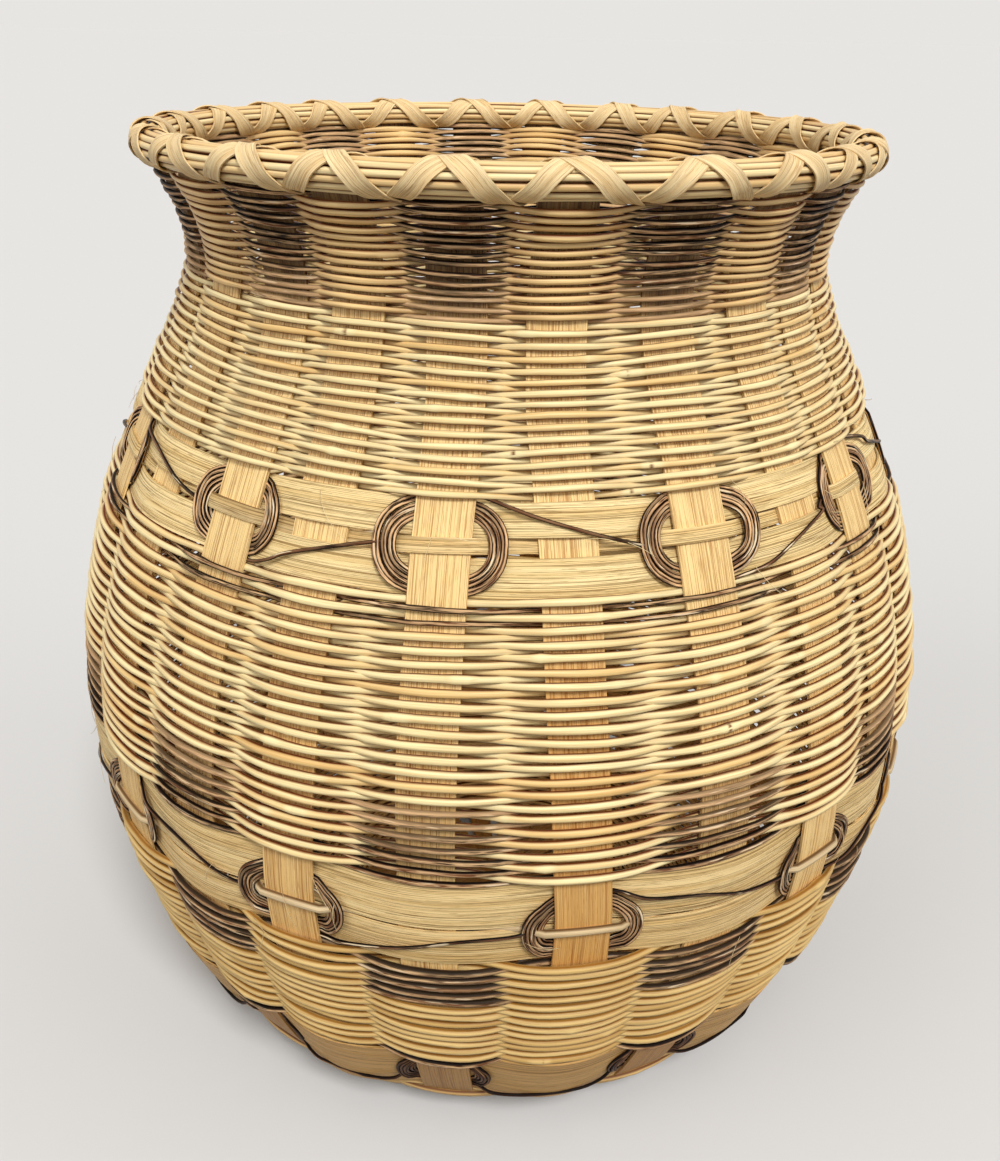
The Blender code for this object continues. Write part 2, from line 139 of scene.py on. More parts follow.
def stake_angle(stake, length):
    """The angle of a stake, or of a place between two stakes, from the front towards the right."""
    stake, length = np.broadcast_arrays(np.asarray(stake, float), np.asarray(length, float))
    low = np.floor(stake)
    height = np.interp(length, WALL_LENGTH, WALL[:, 1]) / MM
    spread = np.clip((length - LEAN_FROM) / LEAN_OVER, 0, 1)
    level = np.interp(height, LEAN_HEIGHTS, np.arange(6))
    step = np.minimum(level.astype(int), 4)
    ends = []
    for i in (0, 1):
        index = (low + i).astype(int) % STAKES
        lean = LEAN[index, step] + (LEAN[index, step + 1] - LEAN[index, step]) * (level - step)
        drift = np.take(DRIFT, index % (STAKES // 2)) + lean * spread
        ends.append(FIRST_STAKE + (low + i) * 2 * math.pi / STAKES + np.radians(drift))
    return ends[0] + (ends[1] - ends[0]) * (stake - low)


def spot(angle, length, out=0.0, across=0.0):
    """Points beside the wall line: out from it and across it, in metres."""
    radius, height, _, outward = wall_at(length)
    radius = radius + outward[0] * out
    height = height + outward[1] * out
    x = radius * np.sin(angle) + across * np.cos(angle)
    y = -radius * np.cos(angle) + across * np.sin(angle)
    return np.stack(np.broadcast_arrays(x, y, height), axis=-1)


def pointing(angle, direction):
    """A direction of the wall's side view, turned round the axis to an angle."""
    x, y = direction[0] * np.sin(angle), -direction[0] * np.cos(angle)
    return np.stack(np.broadcast_arrays(x, y, direction[1]), -1)


def facing(angle, length):
    """The direction out of the wall."""
    return pointing(angle, wall_at(length)[3])


def upward(angle, length):
    """The direction up the wall."""
    return pointing(angle, wall_at(length)[2])


apart = np.degrees(np.diff(stake_angle(np.arange(STAKES + 1), at_height(185))))
print("at half height the stakes are", apart.min().round(1), "to", apart.max().round(1), "degrees apart")

# %% [markdown]
# ## Hand-made unevenness
#
# Nothing on a real basket is even: rods wander, swell at their knots and change colour where a new one is
# joined in. Random jumps from point to point would look like noise, so the unevenness is made of slow waves.
# Waves that take the angle round the basket keep neighbouring rows in step, as packed rows are.

# %% Slow waves
def slow_wave(x, wave, seed):
    """A smooth random wave between about -1 and 1; wave is its longest length."""
    rng = np.random.default_rng(seed)
    total = np.zeros_like(np.asarray(x, float))
    for octave in range(4):
        total = total + 0.62**octave * np.sin(x * 2 * math.pi / wave * rng.uniform(0.8, 1.3) * 1.8**octave
                                              + rng.uniform(0, 2 * math.pi))
    return total / 1.7


def round_wave(angle, length, seed, most=9):
    """A smooth random wave over the wall that meets itself after a turn, with at most so many waves in one."""
    rng = np.random.default_rng(seed)
    total = 0.0
    for _ in range(7):
        turns = rng.integers(1, most + 1)
        rise = length * rng.uniform(-120, 120)
        total = total + np.sin(turns * angle + rise + rng.uniform(0, 2 * math.pi))
    return total / 2.6


sample = slow_wave(np.linspace(0, 5, 500), 1.0, 3)
print("a slow wave runs from", sample.min().round(2), "to", sample.max().round(2))

# %% [markdown]
# ## Node trees that turn a path into a strand
#
# A curve with a bevel would give a plain tube. Geometry Nodes do more: they carry each path point's own
# thickness and tone on to the surface, measure the length along the strand for its grain, and press ridges
# into it. One tree makes round rods and one makes flat splints. A path is a line of vertices with values.

# %% Helpers that wire nodes
def wire(tree, socket, value):
    """Joins an output to an input, or sets the input's own value."""
    if isinstance(value, bpy.types.NodeSocket):
        tree.links.new(value, socket)
    else:
        socket.default_value = value


def add(tree, kind, settings=None, **wires):
    """Adds a node. A wire named like an input holds a socket or a value; in2 is the third input."""
    node = tree.nodes.new(kind)
    for name, value in (settings or {}).items():
        setattr(node, name, value)
    for name, value in wires.items():
        numbered = name[:2] == "in" and name[2:].isdigit()
        wire(tree, node.inputs[int(name[2:]) if numbered else name.replace("_", " ")], value)
    return node


def arithmetic(tree, operation, *values):
    """A Math node; values may be sockets or numbers."""
    node = add(tree, "ShaderNodeMath", {"operation": operation})
    for socket, value in zip(node.inputs, values):
        wire(tree, socket, value)
    return node.outputs[0]


def times(tree, product, *others):
    """Math nodes that multiply all the values."""
    for other in others:
        product = arithmetic(tree, "MULTIPLY", product, other)
    return product


def vectors(tree, operation, *values):
    """A Vector Math node; SCALE takes a vector and a number."""
    node = add(tree, "ShaderNodeVectorMath", {"operation": operation})
    sockets = [node.inputs[0], node.inputs["Scale"]] if operation == "SCALE" else node.inputs
    for socket, value in zip(sockets, values):
        wire(tree, socket, value)
    return node.outputs[0]


def vector_of(tree, x, y, z):
    """One vector made of three numbers."""
    return add(tree, "ShaderNodeCombineXYZ", X=x, Y=y, Z=z).outputs[0]


print("helpers for any node tree are ready")


# %% Helpers for a strand's tree
def named(tree, name, kind="FLOAT"):
    """Reads an attribute of the path or the surface."""
    return add(tree, "GeometryNodeInputNamedAttribute", {"data_type": kind}, Name=name).outputs[0]


def keep(tree, geometry, name, value, kind="FLOAT"):
    """Stores a value on the points."""
    return add(tree, "GeometryNodeStoreNamedAttribute", {"data_type": kind, "domain": "POINT"}, Name=name,
               Geometry=geometry, Value=value).outputs[0]


def new_tree(name, numbers):
    """A node tree with a geometry input, named number inputs and a material input."""
    tree = bpy.data.node_groups.new(name, "GeometryNodeTree")
    tree.interface.new_socket("Path", in_out="INPUT", socket_type="NodeSocketGeometry")
    for label, value in numbers.items():
        kind = "NodeSocketInt" if isinstance(value, int) else "NodeSocketFloat"
        tree.interface.new_socket(label, in_out="INPUT", socket_type=kind).default_value = value
    tree.interface.new_socket("Material", in_out="INPUT", socket_type="NodeSocketMaterial")
    tree.interface.new_socket("Strand", in_out="OUTPUT", socket_type="NodeSocketGeometry")
    return tree, tree.nodes.new("NodeGroupInput"), tree.nodes.new("NodeGroupOutput")


def path_line(tree, given):
    """The path as a curve that knows the length along itself."""
    line = add(tree, "GeometryNodeMeshToCurve", Mesh=given.outputs["Path"]).outputs[0]
    return keep(tree, line, "along", add(tree, "GeometryNodeSplineParameter").outputs["Length"])


def ridges(tree, place, given):
    """Noise about zero, as high as the tree's Ridge input says."""
    noise = add(tree, "ShaderNodeTexNoise", {"noise_dimensions": "4D"}, Vector=place, W=given.outputs["Seed"],
                Scale=1.0, Detail=2.0)
    return times(tree, arithmetic(tree, "SUBTRACT", noise.outputs[0], 0.5), given.outputs["Ridge"])


def finish_tree(tree, mesh, material, out_node):
    """Smooth shading, real geometry in place of instances, and the material."""
    smooth = add(tree, "GeometryNodeSetShadeSmooth", Geometry=mesh)
    real = add(tree, "GeometryNodeRealizeInstances", Geometry=smooth.outputs[0])
    dressed = add(tree, "GeometryNodeSetMaterial", Geometry=real.outputs[0], Material=material)
    tree.links.new(dressed.outputs[0], out_node.inputs[0])


print("helpers for a strand's tree are ready")


# %% The rod tree
RIDGE_WAVES = 90.0  # how many times the ridges of a rod may rise and fall in a metre


def rod_place(tree, radius, along):
    """A place on the rod: round it at a radius, and along it."""
    turn = named(tree, "turn")
    return vector_of(tree, times(tree, arithmetic(tree, "COSINE", turn), radius),
                     times(tree, arithmetic(tree, "SINE", turn), radius), along)


def build_rod_tree():
    """A round strand: thick is the radius at each path point; ridges run along it, as bark does."""
    sizes = {"Sides": 8, "Ridge": 0.0, "Ridge Scale": 2.0, "Seed": 1}
    tree, given, out_node = new_tree("rod_along_path", sizes)
    circle = add(tree, "GeometryNodeCurvePrimitiveCircle", Resolution=given.outputs["Sides"], Radius=1.0)
    turn = times(tree, add(tree, "GeometryNodeSplineParameter").outputs["Factor"], 2 * math.pi)
    outline = keep(tree, circle.outputs[0], "turn", turn)
    tube = add(tree, "GeometryNodeCurveToMesh", Curve=path_line(tree, given), Profile_Curve=outline,
               Scale=named(tree, "thick"), Fill_Caps=True).outputs[0]
    place = rod_place(tree, given.outputs["Ridge Scale"], times(tree, named(tree, "along"), RIDGE_WAVES))
    push = vectors(tree, "SCALE", add(tree, "GeometryNodeInputNormal").outputs[0], ridges(tree, place, given))
    tube = add(tree, "GeometryNodeSetPosition", Geometry=tube, Offset=push).outputs[0]
    outside = add(tree, "ShaderNodeVectorMath", {"operation": "DOT_PRODUCT"},
                  in0=add(tree, "GeometryNodeInputNormal").outputs[0], in1=named(tree, "face", "FLOAT_VECTOR"))
    tube = keep(tree, tube, "crest", outside.outputs["Value"])
    further = arithmetic(tree, "ADD", named(tree, "along"), named(tree, "start"))
    tube = keep(tree, tube, "grain", rod_place(tree, named(tree, "thick"), further), "FLOAT_VECTOR")
    finish_tree(tree, tube, given.outputs["Material"], out_node)
    return tree


ROD_TREE = build_rod_tree()
print("rod tree:", len(ROD_TREE.nodes), "nodes")


# %% The splint tree
SPLINT_WAVES = (900.0, 14.0, 3.0)  # how fast a splint's ridges change across it, along it and through it
EDGE_GRAIN = 0.0004  # how far apart the grain of its two faces is


def build_splint_tree():
    """A flat strip: half is half its width at each path point, across and face are its directions."""
    sizes = {"Thickness": 0.0008, "Cup": 0.0, "Ridge": 0.00008, "Cuts": 4, "Seed": 1}
    tree, given, out_node = new_tree("splint_along_path", sizes)
    line = keep(tree, path_line(tree, given), "middle", add(tree, "GeometryNodeInputPosition").outputs[0],
                "FLOAT_VECTOR")
    outline = add(tree, "GeometryNodeCurvePrimitiveQuadrilateral", Width=2.0, Height=2.0).outputs[0]
    outline = add(tree, "GeometryNodeSubdivideCurve", Curve=outline, Cuts=given.outputs["Cuts"]).outputs[0]
    corner = add(tree, "ShaderNodeSeparateXYZ", Vector=add(tree, "GeometryNodeInputPosition").outputs[0])
    outline = keep(tree, outline, "u", corner.outputs[0])
    outline = keep(tree, outline, "v", corner.outputs[1])
    # The strip is first drawn hair-thin, and then each of its points is put in its place.
    strip = add(tree, "GeometryNodeCurveToMesh", Curve=line, Profile_Curve=outline, Scale=0.001,
                Fill_Caps=True).outputs[0]
    u, v, along, half = (named(tree, name) for name in ("u", "v", "along", "half"))
    strip = keep(tree, strip, "side", times(tree, u, half))
    side = named(tree, "side")
    place = vector_of(tree, *(times(tree, way, waves) for way, waves in zip((side, along, v), SPLINT_WAVES)))
    cup = times(tree, arithmetic(tree, "SUBTRACT", 1.0, times(tree, u, u)), given.outputs["Cup"])
    rise = arithmetic(tree, "ADD", times(tree, v, 0.5, given.outputs["Thickness"]),
                      arithmetic(tree, "ADD", ridges(tree, place, given), cup))
    shift = vectors(tree, "ADD", vectors(tree, "SCALE", named(tree, "across", "FLOAT_VECTOR"), side),
                    vectors(tree, "SCALE", named(tree, "face", "FLOAT_VECTOR"), rise))
    point = vectors(tree, "ADD", named(tree, "middle", "FLOAT_VECTOR"), shift)
    strip = add(tree, "GeometryNodeSetPosition", Geometry=strip, Position=point).outputs[0]
    grain = vector_of(tree, side, times(tree, v, EDGE_GRAIN),
                      arithmetic(tree, "ADD", along, named(tree, "start")))
    strip = keep(tree, strip, "grain", grain, "FLOAT_VECTOR")
    finish_tree(tree, strip, given.outputs["Material"], out_node)
    return tree


SPLINT_TREE = build_splint_tree()
print("splint tree:", len(SPLINT_TREE.nodes), "nodes")

# %% [markdown]
# ## From a path to a finished piece
#
# A path is a mesh with no faces: vertices and edges that carry named values. The node tree hangs on it as a
# modifier. It could stay there, but a live modifier is worked out again at every change, so the result is
# taken as a plain mesh and the modifier goes. A closed mesh with a negative volume is inside out, and is
# turned.

# %% Growing a piece from its paths
DIRECTIONS = ("face", "across")  # the values of a path that are vectors; the others are numbers


def new_object(name, data):
    """An object with this data, put in the scene."""
    made = bpy.data.objects.new(name, data)
    bpy.context.scene.collection.objects.link(made)
    return made


def path_object(name, paths):
    """One line of vertices for each path. A value is one for the whole path, or one for each point."""
    edges, start = [], 0
    for path in paths:
        count = len(path["points"])
        edges += [(start + i, start + i + 1) for i in range(count - 1)]
        if path.get("closed"):
            edges.append((start + count - 1, start))
        start += count
    mesh = bpy.data.meshes.new(name)
    mesh.from_pydata(np.vstack([path["points"] for path in paths]).tolist(), edges, [])
    for key in [key for key in paths[0] if key not in ("points", "closed")]:
        kind, field, size = ("FLOAT_VECTOR", "vector", (3,)) if key in DIRECTIONS else ("FLOAT", "value", ())
        values = [np.broadcast_to(np.asarray(path[key], float), (len(path["points"]), *size)) for path in paths]
        mesh.attributes.new(key, kind, "POINT").data.foreach_set(field, np.concatenate(values).ravel())
    return new_object(name, mesh)


def grow(name, tree, paths, look, nodes, slot, **sizes):
    """Turns paths into a finished piece with a node tree, and hides the parts of the solid model that it stands
    for.
    """
    thing = path_object(name, paths)
    growing = thing.modifiers.new("growing", "NODES")
    growing.node_group = tree
    for item in tree.interface.items_tree:
        label = item.name.replace(" ", "_").lower()
        if item.in_out == "INPUT" and label in sizes:
            growing[item.identifier] = sizes[label]
        if item.name == "Material":
            growing[item.identifier] = look
    grown = bpy.data.meshes.new_from_object(thing.evaluated_get(bpy.context.evaluated_depsgraph_get()))
    thing.modifiers.clear()
    path = thing.data
    thing.data = grown
    grown.name = name
    bpy.data.meshes.remove(path)
    solid = bmesh.new()
    solid.from_mesh(grown)
    if solid.calc_volume(signed=True) < 0:
        grown.flip_normals()
    solid.free()
    if tree == SPLINT_TREE:
        grown.set_sharp_from_angle(angle=math.radians(50))
    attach(thing, "root")
    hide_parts(*nodes)
    print(name, len(grown.polygons), "faces")


# %% [markdown]
# ## Wood, reed and bark
#
# All of it is plant material, so one idea serves for every strand: fine fibres that run along it. A picture
# of wood would have to be wrapped on each strand. Noise needs no wrapping, if it is told which way the
# strand runs. The node trees left a "grain" place on each surface: two numbers across the strand and one
# along it, in metres. Squeezing the noise across and stretching it along gives fibres.

# %% Colours and the fibre noise
def paint(red, green, blue):
    """A colour as a screen shows it, 0 to 255, turned into the plain light values that Blender works with."""
    shown = [value / 255 for value in (red, green, blue)]
    return (*[v / 12.92 if v < 0.04045 else ((v + 0.055) / 1.055) ** 2.4 for v in shown], 1.0)


def fibres(tree, across, along, detail=2.0, shift=0.0):
    """Noise squeezed across the strand and stretched along it; the numbers are waves per metre."""
    grain = add(tree, "ShaderNodeAttribute", {"attribute_name": "grain"}).outputs["Vector"]
    stretched = vectors(tree, "MULTIPLY_ADD", grain, (across, across, along), (shift, shift, shift))
    return add(tree, "ShaderNodeTexNoise", Vector=stretched, Scale=1.0, Detail=detail).outputs[0]


def value_of(tree, name):
    """A number that the node trees or the path left on the strand."""
    return add(tree, "ShaderNodeAttribute", {"attribute_name": name}).outputs["Fac"]


def blend(tree, factor, first, second, how="MIX"):
    """Mixes two colours."""
    settings = {"data_type": "RGBA", "blend_type": how, "clamp_factor": True}
    return add(tree, "ShaderNodeMix", settings, in0=factor, in6=first, in7=second).outputs[2]


def range_of(tree, value, low, high, to_low=0.0, to_high=1.0):
    """Stretches a range of values on to another and holds it there."""
    return add(tree, "ShaderNodeMapRange", {"interpolation_type": "SMOOTHSTEP"}, in0=value, in1=low, in2=high,
               in3=to_low, in4=to_high).outputs[0]


def new_look(name, roughness, shine=0.3):
    """A material and its node tree."""
    made = bpy.data.materials.new(name)
    made.use_nodes = True
    shader = made.node_tree.nodes["Principled BSDF"]
    shader.inputs["Roughness"].default_value = roughness
    shader.inputs["Specular IOR Level"].default_value = shine
    return made, made.node_tree, shader


def finish_look(tree, shader, colour, height, distance):
    """Joins the colour and a fine relief to the shader."""
    tree.links.new(colour, shader.inputs["Base Color"])
    bump = add(tree, "ShaderNodeBump", Strength=0.6, Distance=distance, Height=height)
    tree.links.new(bump.outputs[0], shader.inputs["Normal"])


print("a pale reed shows as", [round(v, 2) for v in paint(228, 194, 138)])


# %% [markdown]
# ## Peeled weavers
#
# A peeled vine is satin, and each length that was laid in has a tone of its own. One flat colour would make
# the rows run together. The eye tells round rods apart by their darker sides, so the "crest" value, which
# says how squarely the surface faces out of the wall, paints shade into the creases, and shade is also painted
# where a rod dives behind a stake.

# %% The look of peeled weavers
def weaver_look(name, light, middle, deep, roughness=0.42, painted_shade=paint(118, 56, 14)):
    """Round peeled vine: satin, each joined length its own tone, painted shade in the creases, brown at the
    knuckles.
    """
    made, tree, shader = new_look(name, roughness)
    fine = fibres(tree, 2100, 40, 3.0)
    broad = fibres(tree, 300, 10, 2.0, 4.0)
    mixed = arithmetic(tree, "ADD", times(tree, value_of(tree, "tone"), 0.5), times(tree, broad, 0.6))
    colour = blend(tree, range_of(tree, mixed, 0.2, 0.55), deep, middle)
    colour = blend(tree, range_of(tree, mixed, 0.42, 0.8), colour, light)
    colour = blend(tree, range_of(tree, fine, 0.40, 0.66, 0.0, 0.4), colour, deep)
    # A knuckle is pale where the vine is only rubbed, and scarred brown where a shoot was torn off.
    knuckle = value_of(tree, "knot")
    colour = blend(tree, range_of(tree, knuckle, 0.1, 0.5, 0.0, 0.7), colour, light)
    scar = times(tree, range_of(tree, knuckle, 0.72, 0.95), range_of(tree, fine, 0.44, 0.56))
    colour = blend(tree, scar, colour, paint(122, 76, 38))
    # Painted shade darkens the rod's sides, and the places where it dives behind a stake.
    top = arithmetic(tree, "ABSOLUTE", value_of(tree, "crest"))
    colour = blend(tree, range_of(tree, top, 0.08, 0.8, 1.0, 0.0), colour, painted_shade, "MULTIPLY")
    colour = blend(tree, times(tree, value_of(tree, "dive_shade"), 0.3), colour, painted_shade, "MULTIPLY")
    finish_look(tree, shader, colour, fine, 0.00015)
    return made


PALE_REED = weaver_look("pale_reed", paint(253, 236, 180), paint(240, 204, 136), paint(210, 158, 88))
TAN_REED = weaver_look("tan_reed", paint(230, 194, 130), paint(206, 164, 102), paint(168, 122, 68), 0.5,
                       paint(120, 84, 46))
NECK_REED = weaver_look("neck_reed", paint(250, 216, 152), paint(228, 184, 114), paint(170, 114, 52))
LOWER_REED = weaver_look("lower_reed", paint(230, 198, 132), paint(206, 168, 100), paint(166, 124, 62), 0.5,
                         paint(178, 146, 92))
RIM_REED = weaver_look("rim_reed", paint(254, 234, 180), paint(240, 206, 146), paint(206, 160, 96))
TIE_REED = weaver_look("tie_reed", paint(224, 200, 158), paint(196, 168, 122), paint(140, 110, 72), 0.6,
                       paint(128, 104, 74))
REEDS = (PALE_REED, TAN_REED, NECK_REED, LOWER_REED, RIM_REED, TIE_REED)
print("looks of peeled vine:", *(look.name for look in REEDS))

# %% [markdown]
# ## Split oak
#
# Oak that is split, not sawn, shows its open grain as long thin lines. A picture of oak would repeat. Noise
# passes its middle value along winding curves, and on stretched noise these curves are just such lines, so
# a line is drawn wherever the noise is close to 0.5. Darkening and warmth come from the path of each splint;
# towards the foot the darkening is painted shade and the warmth is partly painted shade.

# %% The look of split oak
def lines(tree, across, along, width, shift):
    """Thin lines along the strand: 1 on a line and 0 beside it, where the noise passes its middle value."""
    noise = fibres(tree, across, along, 1.0, shift)
    off = arithmetic(tree, "ABSOLUTE", arithmetic(tree, "SUBTRACT", noise, 0.5))
    return range_of(tree, off, 0.0, width, 1.0, 0.0)


def splint_look(name, light, deep, streak, bold=0.5, roughness=0.55, close=1.0):
    """Split oak: long open grain in thin lines, broad paler bands, and a walnut-dark colour where the path's
    darkening says so, painted shade at the foot.
    """
    made, tree, shader = new_look(name, roughness)
    broad = fibres(tree, 420 * close, 8, 3.0, 7.0)
    thin = lines(tree, 1900 * close, 7, 0.055, 3.0)
    thick = lines(tree, 1000 * close, 4, 0.016, 9.0)
    pores = fibres(tree, 3400, 160, 2.0, 11.0)
    colour = blend(tree, range_of(tree, broad, 0.30, 0.66), deep, light)
    colour = blend(tree, value_of(tree, "amber"), colour, paint(206, 142, 54))
    colour = blend(tree, times(tree, thin, bold), colour, streak)
    colour = blend(tree, times(tree, thick, min(1.0, bold * 1.3)), colour, streak)
    colour = blend(tree, range_of(tree, pores, 0.56, 0.68, 0.0, 0.5), colour, streak)
    # The darkening value: walnut-dark beside the dyed rows, and painted shade towards the foot.
    darkened = times(tree, value_of(tree, "darkening"), range_of(tree, broad, 0.25, 0.6, 0.75, 1.0))
    colour = blend(tree, darkened, colour, blend(tree, thin, paint(112, 74, 44), paint(44, 26, 18)))
    finish_look(tree, shader, colour, arithmetic(tree, "SUBTRACT", broad, thin), 0.0002)
    return made


STAKE_OAK = splint_look("stake_oak", paint(254, 222, 156), paint(248, 212, 144), paint(178, 118, 54), 0.75)
BAND_OAK = splint_look("band_oak", paint(254, 228, 168), paint(238, 204, 138), paint(136, 98, 38), 0.8)
LASH_OAK = splint_look("lashing_oak", paint(252, 226, 174), paint(240, 206, 148), paint(172, 122, 66), 0.4,
                       close=1.6)
print("looks of split oak:", *(look.name for look in (STAKE_OAK, BAND_OAK, LASH_OAK)))

# %% [markdown]
# ## Dyed vine with its bark
#
# Walnut dye turns the vine nearly black, and handling wears the bark pale on its crests. A dark colour with
# some noise would look like paint. So the pale is kept to where hands reach: the crest value has to be high and
# the fine fibres have to stand up before the pale wood shows. That pale is partly wear and partly a painted
# highlight, and the rod's sides, where it meets its neighbours, get painted shade.

# %% The look of dyed vine
def bark_look(name, deep, middle, worn, pale, roughness=0.5):
    """Dyed vine with its bark on: nearly black in the furrows with painted shade at its sides, grey-tan on the
    crests, partly worn and partly painted highlight.
    """
    made, tree, shader = new_look(name, roughness, 0.1)
    fine = fibres(tree, 2300, 150, 3.0)
    broad = fibres(tree, 500, 45, 3.0, 3.0)
    blotch = fibres(tree, 60, 30, 3.0, 5.0)
    crest = arithmetic(tree, "ABSOLUTE", value_of(tree, "crest"))
    colour = blend(tree, range_of(tree, broad, 0.38, 0.58), deep, middle)
    # Pale on the crests where the fibres stand up: partly bark worn by handling, partly a painted highlight.
    rubbed_and_highlit = times(tree, range_of(tree, crest, 0.35, 0.95), range_of(tree, fine, 0.36, 0.56),
                   range_of(tree, value_of(tree, "tone"), 0.0, 0.45, 0.15, 1.0),
                   range_of(tree, blotch, 0.36, 0.6, 0.3, 1.0))
    colour = blend(tree, rubbed_and_highlit, colour, worn)
    peeled = times(tree, range_of(tree, fibres(tree, 900, 70, 3.0, 8.0), 0.60, 0.66, 0.0, 0.8),
                   range_of(tree, crest, 0.3, 0.8))
    colour = blend(tree, peeled, colour, pale)
    # Painted shade: the sides of the rod, where it meets its neighbours, are painted nearly black.
    colour = blend(tree, range_of(tree, crest, 0.45, 0.93, 1.0, 0.0), colour, deep)
    # The side that faces into the basket took up less dye.
    inside = range_of(tree, value_of(tree, "crest"), -0.9, -0.3, 0.45, 0.0)
    faded = times(tree, arithmetic(tree, "ADD", value_of(tree, "fade"), inside),
                  range_of(tree, broad, 0.3, 0.6, 0.5, 1.0))
    colour = blend(tree, faded, colour, worn)
    finish_look(tree, shader, colour, arithmetic(tree, "ADD", fine, broad), 0.0003)
    return made


DARK_ROD = bark_look("dark_rod", paint(18, 7, 3), paint(112, 68, 40), paint(222, 182, 134),
                     paint(248, 222, 184))
DARK_VINE = bark_look("dark_vine_bark", paint(8, 2, 1), paint(94, 52, 28), paint(244, 198, 146),
                      paint(255, 234, 196), 0.4)
FOOT_VINE = bark_look("foot_vine_bark", paint(8, 2, 1), paint(56, 30, 16), paint(124, 84, 52),
                      paint(170, 126, 84))
print("looks of dyed vine:", *(look.name for look in (DARK_ROD, DARK_VINE, FOOT_VINE)))

# %% [markdown]
# ## The stakes
#
# Twelve long splints cross at the middle of the base and turn up into twenty-four stakes. They could be
# bent boxes, but a real splint narrows towards the hub, wanders a little and shows its growth rings. So
# each one is a path with its own width and darkening at every point. The stakes are darker beside the dark
# weavers, and towards the foot the darkening is painted shade.

# %% The width, darkening and warmth of a stake
def ease(x, low, high):
    """0 below low, 1 above high, and a smooth rise between."""
    x = np.clip((x - low) / (high - low), 0, 1)
    return x * x * (3 - 2 * x)


STAKE_TOP = at_height(341.5)
HUB = at_radius(43.0)
STAKE_LAYER = 1.25 * MM  # from one splint to the next where they cross in the hub


def stake_half(length):
    """Half the width: narrow in the hub, 18.5 mm in the wall and a little less at the rim."""
    stops = (0, HUB, at_height(23.0), float(WALL_LENGTH[-1]))
    return np.interp(length, stops, (8.6, 8.6, 18.5, 16.8)) / 2 * MM


def darkening_at(length, even):
    """How much darker the stake is beside the dyed rows, and the painted shade at the foot; heights in
    millimetres.
    """
    height = wall_at(length)[1] / MM
    neck = ease(height, 296, 303) * (0.9 if even else 0.35 + 0.5 * ease(height, 316, 328))
    belly = ease(height, 143, 146) * (1 - ease(height, 166, 176)) * (0.4 if even else 0.12)
    # Painted shade: the stake is darker towards the foot.
    foot = 0.45 * (1 - ease(height, 44, 60))
    return neck + belly + foot


AMBER = np.random.default_rng(17).uniform(0.0, 0.3, STAKES)
AMBER[[0, 1, 2, 23]] = 0.1, 0.55, 0.2, 0.3


def amber_at(stake, length):
    """How much warmer the wood is: some stakes are heartwood, and all are warmer towards the foot, partly in
    their colour and partly as painted shade.
    """
    height = wall_at(length)[1] / MM
    return (AMBER[stake] * (1 - ease(height, 200, 240)) + 0.25 * AMBER[stake] * (1 - ease(height, 110, 150))
            + 0.5 * (1 - ease(height, 44, 60)))


print("the dye on a dark stake's neck is", round(float(darkening_at(at_height(315), True)), 2), "of full stain")


# %% Twelve long splints
def stake_path(number):
    """One splint from rim to rim through the hub."""
    way = np.linspace(-STAKE_TOP, STAKE_TOP, 231)
    length = np.abs(way)
    angle = stake_angle(number + np.where(way < 0, STAKES // 2, 0), length)
    across = np.stack([np.cos(angle), np.sin(angle), 0 * angle], -1) * np.where(way < 0, -1, 1)[:, None]
    sway = slow_wave(way, 0.4, 40 + number) * 0.35 * MM * ease(length, 0.06, 0.12)
    points = spot(angle, length, slow_wave(way, 0.09, 70 + number) * 0.12 * MM) + sway[:, None] * across
    layer = (number - (STAKES // 2 - 1) / 2) * STAKE_LAYER
    points[:, 2] += layer * (1 - ease(length, HUB, at_radius(63.0)))
    return {
        "points": points, "face": facing(angle, length), "across": across,
        "half": stake_half(length) * (1 + 0.018 * slow_wave(way, 0.12, 90 + number)),
        "darkening": darkening_at(length, number % 2 == 0), "start": number * 0.83,
        "amber": np.where(way < 0, amber_at(number + STAKES // 2, length), amber_at(number, length)),
    }


for number in range(STAKES // 2):
    grow(f"oak_splint_{number + 1:02d}", SPLINT_TREE, [stake_path(number)], STAKE_OAK,
         [f"splint_{number + 1:02d}"], "oak_splint", thickness=0.9 * MM, ridge=0.10 * MM, cup=0.18 * MM,
         cuts=4, seed=number)

# %% [markdown]
# ## The weavers
#
# With an even number of stakes, one weaver would pass over the same stakes in every row. So the maker
# lets two weavers chase each other: one over the even stakes, the next row over the odd ones. A woven
# surface could be a picture of rows on a shell. Here each weaver is one long rod that runs round and
# round, because the shadows in the dives are what make it look woven.
#
# Round weavers are vine: they swell at their knuckles, and a new length is laid in every metre or so, with
# a tone of its own. The rows keep level and step up together at the back.

# %% Rows, knuckles and tones
STEPS = 12  # points from stake to stake
ROWS = {  # where each part begins and ends along the wall line, and how many rows it has
    "base": (at_radius(60.0), at_height(22.4), 34),
    "lower": (at_height(53.6), at_height(109.6), 28),
    "middle": (at_height(141.6), at_height(227.4), 44),
    "upper": (at_height(253.2), at_height(298.2), 29),
    "neck": (at_height(298.4), at_height(332.6), 27),
}
BACK = -STAKES // 2  # rows begin, and step up, behind the basket
STEP_UP = (0.87, 1.0)  # the share of a turn in which they do
LOW_SAG = 4.2 * MM  # how far the lowest rows of the wall sag over the stakes that have a foot ring
